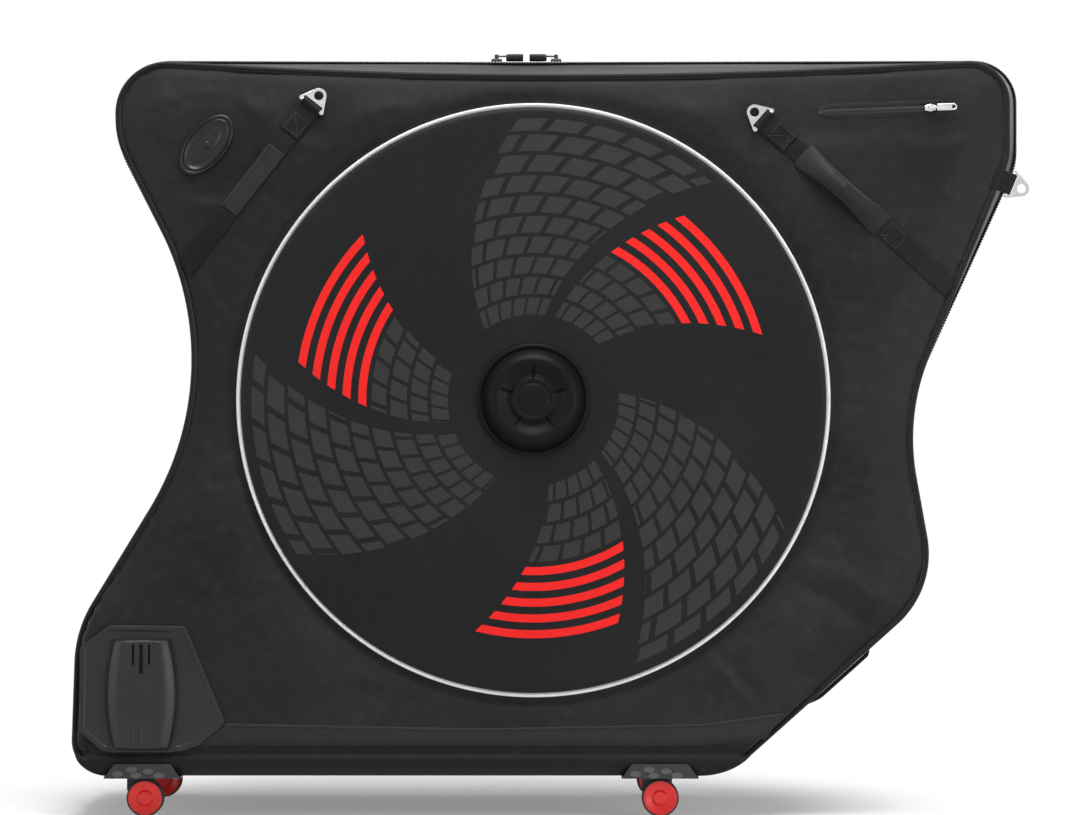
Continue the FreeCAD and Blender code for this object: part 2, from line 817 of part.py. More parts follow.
def main_slider_place(shape, along, turn):
    """Slider on the top of the closed main zip, measured from the middle of the zip line."""
    corners = corners_of(zip_line_shares)
    index = ZIP_MIDDLE_CORNER if along > 0 else ZIP_MIDDLE_CORNER - 1
    _, _, dx, dz = edge_line(corners, index, 0)
    middle = corners[ZIP_MIDDLE_CORNER]
    moved = shape.copy()
    moved.rotate(ORIGIN, Z_AXIS, turn)
    moved.translate(Vec(along, 0, 0))
    moved.rotate(ORIGIN, Y_AXIS, -math.degrees(math.atan2(dz, dx)))
    moved.translate(Vec(middle[0], 0, middle[1]))
    return moved


def base_tub():
    """Tray with rounded long edges, a lower rim along each side for the bead, and pin holes."""
    corners = corners_of(seam_shares)
    outer = tray_block(corners, 0, half_width, rim_z, tub_round)
    inner = tray_block(corners, tub_wall, half_width - tub_wall, rim_z + overrun, tub_round - tub_wall)
    tub = outer.cut(inner)
    shelf = rim_z - bead_radius - welt_gap
    for side in (-1, 1):
        edge = side * half_width
        inside = side * (half_width - bead_setback)
        tub = tub.cut(block(-body_length, min(edge * 2, inside), shelf,
                            body_length, max(edge * 2, inside), rim_z + overrun))
    for x, y in caster_pivots().values():
        tub = tub.cut(Part.makeCylinder(kingpin_radius + seat_gap, 2 * overrun, Vec(x, y, 0)))
    for x, y in screw_places():
        tub = tub.cut(Part.makeCylinder(screw_radius + press_gap, 2 * overrun, Vec(x, y, 0)))
    return tub


def tray_block(corners, inset, half, top, radius):
    """Lower slice of the side outline's prism, rounded along its two long bottom edges."""
    along = upright(plate(corners, -half, half, inset))
    low = floor_gap + inset
    high = top + overrun
    section = plate([(-half, low, radius), (-half, high, radius), (half, high, radius), (half, low, radius)],
                    -body_length, body_length)
    section.rotate(ORIGIN, Vec(1, 1, 1), 120)
    return along.common(section).common(below(top))


def rim_beads():
    """Round sewn beads along the two rims: the sides turn about them."""
    start = x_at(0) + tub_height
    length = x_at(seam_shares[FRONT_SLOPE_CORNER][0]) - start
    beads = []
    for side in (-1, 1):
        beads.append(Part.makeCylinder(bead_radius, length, Vec(start, side * hinge_y, rim_z), X_AXIS))
    return beads


def bracket_centres():
    """Middle of each caster bracket on the floor plan."""
    y = half_width + flange_thickness - bracket_depth / 2
    return {
        "rear_near": (x_at(rear_caster_share), -y),
        "rear_far": (x_at(rear_caster_share), y),
        "front_near": (x_at(front_caster_share), -y),
        "front_far": (x_at(front_caster_share), y),
    }


def caster_pivots():
    return {name: (x - pivot_back, y) for name, (x, y) in bracket_centres().items()}


def screw_places():
    """Four screws at the corners of each bracket."""
    places = []
    for x, y in bracket_centres().values():
        for i in (-1, 1):
            for j in (-1, 1):
                reach = bracket_depth / 2 - screw_inset - (tub_round if j * y > 0 else 0)
                places.append((x + i * (bracket_length / 2 - screw_inset), y + j * reach))
    return places


def caster_brackets():
    """Plates under the tub with a turned-up flange, tapered and dotted with ovals."""
    low = floor_gap - bracket_thickness
    half = bracket_length / 2
    top = bracket_top_length / 2
    brackets = []
    for x, y in bracket_centres().values():
        flat = block(-half, -bracket_depth / 2, low, half, bracket_depth / 2, floor_gap)
        corners = [(-half, low, bracket_thickness / 2), (-top, low + flange_height, flange_round),
                   (top, low + flange_height, flange_round), (half, low, bracket_thickness / 2)]
        flange = upright(plate(corners, -flange_thickness + seat_gap, 0))
        flange.translate(Vec(0, -bracket_depth / 2, 0))
        ovals = []
        for a, b in oval_shares:
            oval = ellipse_plate(oval_length, oval_width, -oval_height, oval_height)
            oval.translate(Vec(a * bracket_length, low + b * flange_height, 0))
            oval = upright(oval)
            oval.translate(Vec(0, -bracket_depth / 2, 0))
            ovals.append(oval)
        bracket = flat.fuse([flange] + ovals)
        if y > 0:
            bracket = mirrored(bracket)
        bracket.translate(Vec(x, y, 0))
        for px, py in caster_pivots().values():
            bracket = bracket.cut(Part.makeCylinder(kingpin_radius + run_gap, 2 * overrun, Vec(px, py, 0)))
        for sx, sy in screw_places():
            bracket = bracket.cut(Part.makeCylinder(screw_radius + press_gap, 2 * overrun, Vec(sx, sy, 0)))
        brackets.append(bracket.removeSplitter())
    return brackets


def bracket_screws():
    low = floor_gap - bracket_thickness
    length = bracket_thickness + tub_wall
    screws = []
    for x, y in screw_places():
        head = Part.makeCylinder(screw_head_radius, screw_head_height, Vec(x, y, low - screw_head_height))
        shank = Part.makeCylinder(screw_radius, length, Vec(x, y, low))
        screws.append(head.fuse(shank).removeSplitter())
    return screws


def caster_fork():
    """Web between the wheels, swivel plate and riveted pin about the Z axis, with its axle."""
    top = floor_gap - bracket_thickness - seat_gap
    under = top - swivel_thickness
    corners = [(a * wheel_radius, b * under, c * wheel_radius) for a, b, c in fork_shares]
    web = upright(plate(corners, -fork_thickness / 2, fork_thickness / 2))
    hole = Part.makeCylinder(axle_radius + press_gap, 2 * overrun, Vec(trail, -overrun, wheel_radius), Y_AXIS)
    swivel = Part.makeCylinder(swivel_radius, swivel_thickness, Vec(0, 0, under))
    head_low = floor_gap + tub_wall + seat_gap
    pin = Part.makeCylinder(kingpin_radius, head_low - under, Vec(0, 0, under))
    head = Part.makeCylinder(kingpin_head_radius, kingpin_head_height, Vec(0, 0, head_low))
    return web.fuse([swivel, pin, head]).cut(hole).removeSplitter()


def caster_axle():
    reach = fork_thickness / 2 + wheel_side_gap + wheel_width - axle_cover - seat_gap
    return Part.makeCylinder(axle_radius, 2 * reach, Vec(trail, -reach, wheel_radius), Y_AXIS)


def wheel_pair(profile):
    """One turned piece on each side of the fork, the outer face outwards."""
    piece = turned(profile)
    pair = []
    for side in (-1, 1):
        wheel = piece.copy()
        wheel.rotate(ORIGIN, X_AXIS, -90 * side)
        wheel.translate(Vec(trail, side * (fork_thickness / 2 + wheel_side_gap), wheel_radius))
        pair.append(wheel)
    return pair


def hub_pair():
    rim = wheel_radius - tyre_thickness - press_gap
    dish = wheel_width - hub_dish
    return wheel_pair([
        (axle_radius + run_gap, 0),
        (rim, 0),
        (rim, wheel_width),
        (rim - hub_rim, wheel_width),
        (boss_radius + boss_step, dish),
        (boss_radius, wheel_width - boss_step),
        (boss_radius - boss_step, wheel_width),
        (0, wheel_width),
        (0, wheel_width - axle_cover),
        (axle_radius + run_gap, wheel_width - axle_cover),
    ])


def tyre_pair():
    inside = wheel_radius - tyre_thickness
    return wheel_pair([
        (inside, 0),
        (wheel_radius - tyre_bevel, 0),
        (wheel_radius, tyre_bevel),
        (wheel_radius, wheel_width - tyre_bevel),
        (wheel_radius - tyre_bevel, wheel_width),
        (inside, wheel_width),
    ])


def stand_frame():
    """Two square rails on the tub floor with cross bars welded between them."""
    low = floor_gap + tub_wall
    start = x_at(rail_start_share)
    end = x_at(rail_end_share)
    pieces = []
    for side in (-1, 1):
        y = side * rail_spacing / 2
        half = rail_size / 2
        bore = half - rail_wall
        tube = block(start, y - half, low, end, y + half, low + rail_size)
        hollow = block(start - overrun, y - bore, low + rail_wall,
                       end + overrun, y + bore, low + rail_size - rail_wall)
        pieces.append(tube.cut(hollow))
    gap = rail_spacing / 2 - rail_size / 2
    for share in cross_shares:
        x = x_at(share)
        pieces.append(block(x - cross_width / 2, -gap, low, x + cross_width / 2, gap, low + cross_thickness))
    return pieces[0].fuse(pieces[1:]).removeSplitter()


def upright_pair(foot_start, foot_end, head_x, head_z):
    """Foot plate on the rails and two flat legs that meet the dummy hub at their heads."""
    low = floor_gap + tub_wall + rail_size
    half = rail_spacing / 2 + rail_size / 2 + foot_overhang
    foot = block(foot_start, -half, low, foot_end, half, low + foot_thickness)
    base = low + foot_thickness
    lead = math.atan2(head_z - base, head_x - (foot_start + foot_end) / 2)
    across = Vec(-math.sin(lead), math.cos(lead), 0) * upright_head
    along = Vec(math.cos(lead), math.sin(lead), 0) * upright_head
    head = Vec(head_x, head_z, 0)
    left = head + across + along
    right = head - across + along
    corner = upright_head * upright_corner_share
    corners = [(foot_start, base, foot_thickness), (left.x, left.y, corner),
               (right.x, right.y, corner), (foot_end, base, foot_thickness)]
    legs = []
    for side in (-1, 1):
        inner = side * upright_spacing / 2
        outer = inner + side * upright_thickness
        legs.append(upright(plate(corners, min(inner, outer), max(inner, outer))))
    solid = foot.fuse(legs)
    mid = Vec((foot_start + foot_end) / 2, base, 0)
    window = mid + (head - mid) * upright_hole_share
    hole = Part.makeCylinder(upright_head, 4 * half, Vec(window.x, -2 * half, window.y), Y_AXIS)
    bore = Part.makeCylinder(dummy_hub_radius + press_gap, 4 * half, Vec(head_x, -2 * half, head_z), Y_AXIS)
    return solid.cut(hole).cut(bore).removeSplitter()


def rear_upright():
    middle = x_at(rear_axle_share)
    return upright_pair(middle - rear_foot_length / 2, middle + rear_foot_length / 2,
                        middle, rear_axle_height)


def front_carriage():
    start = x_at(front_foot_share) - front_foot_length / 2
    solid = upright_pair(start, start + front_foot_length, x_at(front_axle_share), front_axle_height)
    x, _, _ = knob_place()
    return solid.cut(Part.makeCylinder(stud_radius + run_gap, 2 * overrun, Vec(x, 0, 0)))


def dummy_hub(length, x, z):
    """Hub with stub ends for the dropouts, a skewer through it and a nut on the far end."""
    half = length / 2
    stub = half + dropout_length
    reach = stub + skewer_reach
    hub = turned([
        (0, -reach),
        (skewer_radius, -reach),
        (skewer_radius, -stub),
        (dropout_radius, -stub),
        (dropout_radius, -half),
        (dummy_hub_radius, -half),
        (dummy_hub_radius, half),
        (dropout_radius, half),
        (dropout_radius, stub),
        (skewer_radius, stub),
        (skewer_radius, reach - nut_length),
        (nut_radius, reach - nut_length),
        (nut_radius * nut_end_share, reach),
        (0, reach),
    ])
    hub.rotate(ORIGIN, X_AXIS, -90)
    hub.translate(Vec(x, 0, z))
    return hub


def cam_place(length, x, z):
    """Pivot of a quick-release cam at the near end of its skewer."""
    return x, -(length / 2 + dropout_length + skewer_reach + cam_radius + seat_gap), z


def qr_lever(length, x, z):
    """Cam drum across the skewer with a round-ended arm that points up when it is shut."""
    drum = Part.makeCylinder(cam_radius, cam_width, Vec(-cam_width / 2, 0, 0), X_AXIS)
    half = lever_width / 2
    arm = block(-half, -lever_thickness / 2, 0, half, lever_thickness / 2, lever_length)
    tip = Part.makeCylinder(half, lever_thickness, Vec(0, -lever_thickness / 2, lever_length), Y_AXIS)
    lever = drum.fuse([arm, tip]).removeSplitter()
    lever.translate(Vec(*cam_place(length, x, z)))
    return lever


def knob_place():
    """Foot of the knob, at the rear of the carriage foot between the legs."""
    x = x_at(front_foot_share) - front_foot_length / 2 + knob_back
    return x, 0, floor_gap + tub_wall + rail_size + foot_thickness


def clamp_knob():
    """Lobed knob on a stud through the carriage foot."""
    x, y, z = knob_place()
    low = z + seat_gap
    knob = Part.makeCylinder(knob_radius, knob_height, Vec(0, 0, low))
    for i in range(knob_lobes):
        angle = 2 * math.pi * i / knob_lobes
        place = Vec(knob_radius * math.cos(angle), knob_radius * math.sin(angle), low - overrun)
        knob = knob.cut(Part.makeCylinder(knob_lobe_radius, 2 * overrun, place))
    stud = Part.makeCylinder(stud_radius, stud_drop + seat_gap, Vec(0, 0, z - stud_drop))
    solid = knob.fuse(stud).removeSplitter()
    solid.translate(Vec(x, y, 0))
    return solid


def sides():
    """Pieces of the two soft sides, by node."""
    near = {
        "side_panel": [side_panel()],
        "welt": [welt()],
        "wheel_panel": [wheel_panel()],
        "wheel_piping": [wheel_piping()],
        "hub_guard": [hub_guard()],
        "wheel_pocket": [wheel_pocket()],
        "webbing": [strap(rear_loop_shares, rear_strap_deg), strap(front_loop_shares, front_strap_deg)],
        "rear_ring": [side_ring(rear_loop_shares, rear_strap_deg)],
        "front_ring": [side_ring(front_loop_shares, front_strap_deg)],
        "grip": [grip()],
    }
    nodes = {}
    for name, shapes in near.items():
        placed = [near_place(s) for s in shapes]
        nodes["near_" + name] = placed
        nodes["far_" + name] = [mirrored(s) for s in placed]
    for name, shape in (("gusset", gusset()), ("zip_half", zip_half())):
        nodes["near_" + name] = [shape]
        nodes["far_" + name] = [mirrored(shape)]
    nodes["near_webbing"] += [near_place(tow_tab()), grab_strap()]
    nodes["near_skirt"] = [near_place(skirt([]))]
    nodes["far_skirt"] = [mirrored(near_place(skirt(skirt_tail_shares)))]
    return nodes


def near_fittings():
    """Pieces that only the near side has."""
    base = pocket_zip_tape + pocket_teeth_height + seat_gap
    nodes = {
        "gear_guard": gear_guard(),
        "vent_fitting": vent_fitting(),
        "pocket_zip": pocket_zip(),
        "pocket_slider": pocket_slider_place(zip_slider(base)),
        "pocket_pull": pocket_slider_place(zip_pull(base)),
        "tow_ring": tow_ring(),
    }
    placed = {name: [near_place(shape)] for name, shape in nodes.items()}
    top = teeth_height + seat_gap
    for name, along, turn in (("rear", main_rear_slider, 0), ("front", main_front_slider, 180)):
        placed["zip_slider_" + name] = [main_slider_place(zip_slider(top), along, turn)]
        placed["zip_pull_" + name] = [main_slider_place(zip_pull(top), along, turn)]
    return placed


def casters():
    nodes = {}
    for name, (x, y) in caster_pivots().items():
        parts = {
            "fork_": [caster_fork(), caster_axle()],
            "hubs_": hub_pair(),
            "tyres_": tyre_pair(),
        }
        for kind, shapes in parts.items():
            for shape in shapes:
                shape.translate(Vec(x, y, 0))
            nodes["caster_" + kind + name] = shapes
    return nodes


def base_and_stand():
    rear_x = x_at(rear_axle_share)
    front_x = x_at(front_axle_share)
    return {
        "base_tub": [base_tub()],
        "rim_beads": rim_beads(),
        "caster_brackets": caster_brackets(),
        "bracket_screws": bracket_screws(),
        "stand_frame": [stand_frame()],
        "rear_upright": [rear_upright()],
        "rear_hub": [dummy_hub(rear_hub_length, rear_x, rear_axle_height)],
        "rear_lever": [qr_lever(rear_hub_length, rear_x, rear_axle_height)],
        "front_carriage": [front_carriage()],
        "front_hub": [dummy_hub(front_hub_length, front_x, front_axle_height)],
        "front_lever": [qr_lever(front_hub_length, front_x, front_axle_height)],
        "clamp_knob": [clamp_knob()],
    }


def main():
    os.makedirs("parts", exist_ok=True)
    nodes = {**base_and_stand(), **casters(), **sides(), **near_fittings()}
    for name, shapes in nodes.items():
        solids = [solid for shape in shapes for solid in shape.Solids]
        for solid in solids:
            if not solid.isValid() or solid.Volume <= 0:
                print("check", name, solid.isValid(), round(solid.Volume, 2))
        Part.makeCompound(solids).exportStep(os.path.join("parts", name + ".step"))
    print(len(nodes), "nodes,", sum(len(s.Solids) for shapes in nodes.values() for s in shapes), "solids")


if __name__ == "__main__":
    main()
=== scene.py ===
"""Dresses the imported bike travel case: soft shell, trims, hardware, floor, light and camera."""
import json
import logging
import math
from dataclasses import dataclass
from enum import Enum
from typing import Callable, Sequence

import bpy
import numpy as np
from mathutils import Matrix, Vector, noise
from mathutils.bvhtree import BVHTree
from mathutils.kdtree import KDTree


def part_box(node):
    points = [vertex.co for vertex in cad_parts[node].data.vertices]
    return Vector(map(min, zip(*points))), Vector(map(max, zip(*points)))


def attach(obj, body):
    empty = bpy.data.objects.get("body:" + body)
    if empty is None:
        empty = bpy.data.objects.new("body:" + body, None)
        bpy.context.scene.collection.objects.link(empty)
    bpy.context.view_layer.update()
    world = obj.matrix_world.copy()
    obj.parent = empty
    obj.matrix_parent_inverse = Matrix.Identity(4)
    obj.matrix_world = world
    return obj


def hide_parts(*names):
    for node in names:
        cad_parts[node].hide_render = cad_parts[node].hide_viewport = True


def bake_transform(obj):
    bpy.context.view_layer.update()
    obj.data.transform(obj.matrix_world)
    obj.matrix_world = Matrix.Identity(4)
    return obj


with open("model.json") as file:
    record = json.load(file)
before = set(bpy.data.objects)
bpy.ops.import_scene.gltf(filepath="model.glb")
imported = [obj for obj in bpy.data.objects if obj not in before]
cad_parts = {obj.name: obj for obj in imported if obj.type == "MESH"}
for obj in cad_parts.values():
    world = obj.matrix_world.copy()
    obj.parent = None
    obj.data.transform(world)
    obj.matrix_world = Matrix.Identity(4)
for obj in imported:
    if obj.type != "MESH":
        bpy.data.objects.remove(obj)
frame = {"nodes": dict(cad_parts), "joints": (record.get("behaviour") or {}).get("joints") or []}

LOG = logging.getLogger("travel_case")

Object = bpy.types.Object
Material = bpy.types.Material
Node = bpy.types.Node
Socket = bpy.types.NodeSocket
Tree = bpy.types.NodeTree
Triple = tuple[float, float, float]
Profile = list[tuple[float, float]]
Rows = Sequence[Sequence[Vector]]

OUT = Vector((0.0, 0.0, 1.0))
ACROSS = Matrix.Scale(-1.0, 4, (0.0, 1.0, 0.0))


class PatternSource(Enum):
    """Where a finish reads its pattern from."""

    OBJECT = "Object"
    METRES = "metres"


class Side(Enum):
    """The two soft sides of the case."""

    NEAR = "near"
    FAR = "far"


def ease(value: float) -> float:
    """Smooth step from 0 to 1, level at both ends."""
    share = min(max(value, 0.0), 1.0)
    return share * share * (3 - 2 * share)


def ramp(values: np.ndarray, start: float, run: float) -> np.ndarray:
    """0 up to a start, then rising to 1 over a run."""
    return np.clip((values - start) / run, 0.0, 1.0)


def arc(middle: tuple[float, float], radius: float, degrees: Sequence[float]) -> Profile:
    """Points of an arc about a centre, one for each angle."""
    turns = [math.radians(d) for d in degrees]
    return [(middle[0] + radius * math.cos(t), middle[1] + radius * math.sin(t)) for t in turns]


def rgba(colour: Triple) -> tuple[float, float, float, float]:
    """Colour with full alpha."""
    return (*colour, 1.0)


@dataclass(frozen=True)
class CaseSizes:
    """Main sizes of the case in metres, as the solids have them."""

    length: float = 1.106
    height: float = 0.845
    origin_share: float = 0.506
    floor_gap: float = 0.0493
    lean_degrees: float = 1.5
    panel_depth: float = 0.014
    rim_cut: float = 0.0726
    zip_gap: float = 0.0004
    disc_radius: float = 0.350

    def at(self, along: float, up: float) -> Vector:
        """Face point at a share of the length and of the height."""
        return Vector(((along - self.origin_share) * self.length, self.floor_gap + up * self.height, 0.0))


SIZES = CaseSizes()

# Corners clockwise from the top rear: length, height and radius shares
SEAM_SHARES = (
    (0.045, 1.000, 0.072), (0.520, 0.965, 8.5), (1.000, 1.000, 0.058), (1.000, 0.860, 0.083),
    (0.888, 0.502, 0.300), (0.921, 0.260, 0.132), (0.6985, 0.000, 0.100), (0.000, 0.000, 0.050),
    (0.005, 0.203, 0.167), (0.171, 0.5605, 0.400), (0.047, 0.885, 0.125),
)
ZIP_SHARES = (
    (0.038, 1.006, 0.072), (0.484, 1.004, 8.5), (1.018, 1.006, 0.058), (1.018, 0.860, 0.083),
    (0.894, 0.502, 0.300), (0.921, 0.260, 0.132), (0.6985, 0.000, 0.100), (-0.006, 0.000, 0.050),
    (-0.001, 0.203, 0.167), (0.167, 0.5605, 0.400), (0.040, 0.885, 0.125),
)
SHOULDER, HIP = 3, 5


@dataclass(frozen=True)
class Outline:
    """Closed outline of straight sides and round corners, clockwise in length and height."""

    shares: tuple[Triple, ...]

    def corner(self, index: int) -> Vector:
        """Place of a corner before it is rounded."""
        return SIZES.at(*self.shares[index % len(self.shares)][:2]).to_2d()

    def side(self, index: int, inset: float, share: float = 0.0) -> tuple[Vector, Vector]:
        """A point on the side that leaves a corner.

        Args:
            index: Number of the corner.
            inset: How far the side is moved inwards.
            share: Where the point lies on the side.

        Returns:
            The point and the side's direction.
        """
        start, end = self.corner(index), self.corner(index + 1)
        way = (end - start).normalized()
        return start + Vector((way.y, -way.x)) * inset + way * (end - start).length * share, way

    def fillet(self, index: int, inset: float) -> tuple[Vector, Vector, float]:
        """Start and centre of a corner's arc, and how far it turns.

        Args:
            index: Number of the corner.
            inset: How far the outline is moved inwards.

        Returns:
            Start point, centre point and turn in radians.
        """
        index %= len(self.shares)
        before, way_in = self.side(index - 1, inset)
        after, way_out = self.side(index, inset)
        cross = way_in.x * way_out.y - way_in.y * way_out.x
        gap = after - before
        corner = before + way_in * ((gap.x * way_out.y - gap.y * way_out.x) / cross)
        turn = math.atan2(cross, way_in.dot(way_out))
        sign = 1 if turn > 0 else -1
        radius = self.shares[index][2] * SIZES.height + inset * sign
        start = corner - way_in * radius * math.tan(abs(turn) / 2)
        return start, start + Vector((-way_in.y, way_in.x)) * radius * sign, turn

    def counts(self, step: float) -> list[tuple[int, int]]:
        """Into how many pieces each arc and each straight side is cut.

        Args:
            step: Length of a piece.

        Returns:
            Pieces of the arc and of the side, corner by corner.
        """
        found = []
        for index in range(len(self.shares)):
            start, centre, turn = self.fillet(index, 0.0)
            bend = (start - centre).length * abs(turn)
            end = centre + Matrix.Rotation(turn, 2) @ (start - centre)
            run = (self.fillet(index + 1, 0.0)[0] - end).length
            found.append((max(2, round(bend / step)), max(1, round(run / step))))
        return found

    def path(self, inset: float, counts: Sequence[tuple[int, int]]) -> list[Vector]:
        """Points round the outline.

        Args:
            inset: How far the path is moved inwards.
            counts: Pieces of each arc and side.

        Returns:
            Face points in order, without a repeated end.
        """
        points: list[Vector] = []
        for index, (bends, runs) in enumerate(counts):
            start, centre, turn = self.fillet(index, inset)
            bend = [centre + Matrix.Rotation(turn * k / bends, 2) @ (start - centre)
                    for k in range(bends + 1)]
            following = self.fillet(index + 1, inset)[0]
            points += bend + [bend[-1].lerp(following, k / runs) for k in range(1, runs)]
        return [p.to_3d() for p in points]

    @staticmethod
    def span(points: Sequence[Vector], level: float) -> list[int]:
        """Indices of the points above a level, from the tail over the top to the front.

        Args:
            points: The whole path.
            level: Height of the cut.

        Returns:
            The indices in order.
        """
        total = len(points)
        first = next(i for i in range(total) if points[i - 1].y < level <= points[i].y)
        order = [(first + k) % total for k in range(total)]
        last = next(k for k, i in enumerate(order) if points[i].y < level)
        return order[:last]

    @staticmethod
    def cut(points: Sequence[Vector], kept: Sequence[int], level: float) -> list[Vector]:
        """Kept points of a path, with the places where it meets a level at both ends.

        Args:
            points: The whole path.
            kept: Indices of the points above the level.
            level: Height of the cut.

        Returns:
            The points in order.
        """
        ends = []
        for inner, outer in ((kept[0], kept[0] - 1), (kept[-1], (kept[-1] + 1) % len(points))):
            high, low = points[inner], points[outer]
            ends.append(low.lerp(high, min(max((level - low.y) / (high.y - low.y), 0.0), 1.0)))
        return [ends[0], *(points[i] for i in kept), ends[1]]


SEAM = Outline(SEAM_SHARES)
ZIP_LINE = Outline(ZIP_SHARES)


@dataclass(frozen=True)
class StrapRun:
    """Where a strap's loop sits on the face, and the way that the strap runs from it."""

    along: float
    up: float
    degrees: float

    def start(self) -> Vector:
        """Face point of the loop."""
        return SIZES.at(self.along, self.up)

    def matrix(self) -> Matrix:
        """From strap axes (X across, Y towards the loop's tip, Z out) to face axes."""
        return Matrix.Translation(self.start()) @ Matrix.Rotation(math.radians(self.degrees + 90.0), 4, "Z")


REAR_RUN = StrapRun(0.2558, 0.9332, 232.0)
FRONT_RUN = StrapRun(0.7367, 0.9124, -41.8)


@dataclass(frozen=True)
class FaceFrame:
    """Axes of the leaning near face: X along, Y up, Z outwards."""

    hinge: Vector
    half_width: float

    @classmethod
    def from_solids(cls) -> "FaceFrame":
        """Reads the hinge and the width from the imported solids."""
        hinge = next(j for j in frame["joints"] if j["name"] == "near_side_open")["pos_m"]
        return cls(Vector(hinge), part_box("base_tub")[1].y)

    def matrix(self) -> Matrix:
        """From face axes to the case's own axes."""
        stood = Matrix.Translation((0.0, -self.half_width, 0.0)) @ Matrix.Rotation(math.pi / 2, 4, "X")
        about = Matrix.Translation(self.hinge)
        return about @ Matrix.Rotation(-math.radians(SIZES.lean_degrees), 4, "X") @ about.inverted() @ stood

    def box(self, node: str) -> tuple[Vector, Vector]:
        """Lowest and highest corner of a solid in face axes."""
        back = self.matrix().inverted()
        points = np.array([back @ v.co for v in frame["nodes"][node].data.vertices])
        return Vector(points.min(0)), Vector(points.max(0))

    def centre(self, node: str) -> Vector:
        """Middle of a solid's box in face axes."""
        return sum(self.box(node), Vector()) / 2

    def turned(self, spot: Vector, degrees: float = 0.0) -> Matrix:
        """From axes at a face point, turned about the outward axis, to the case's own axes."""
        at = Matrix.Translation((spot.x, spot.y, 0.0))
        return self.matrix() @ at @ Matrix.Rotation(math.radians(degrees), 4, "Z")


FACE = FaceFrame.from_solids()


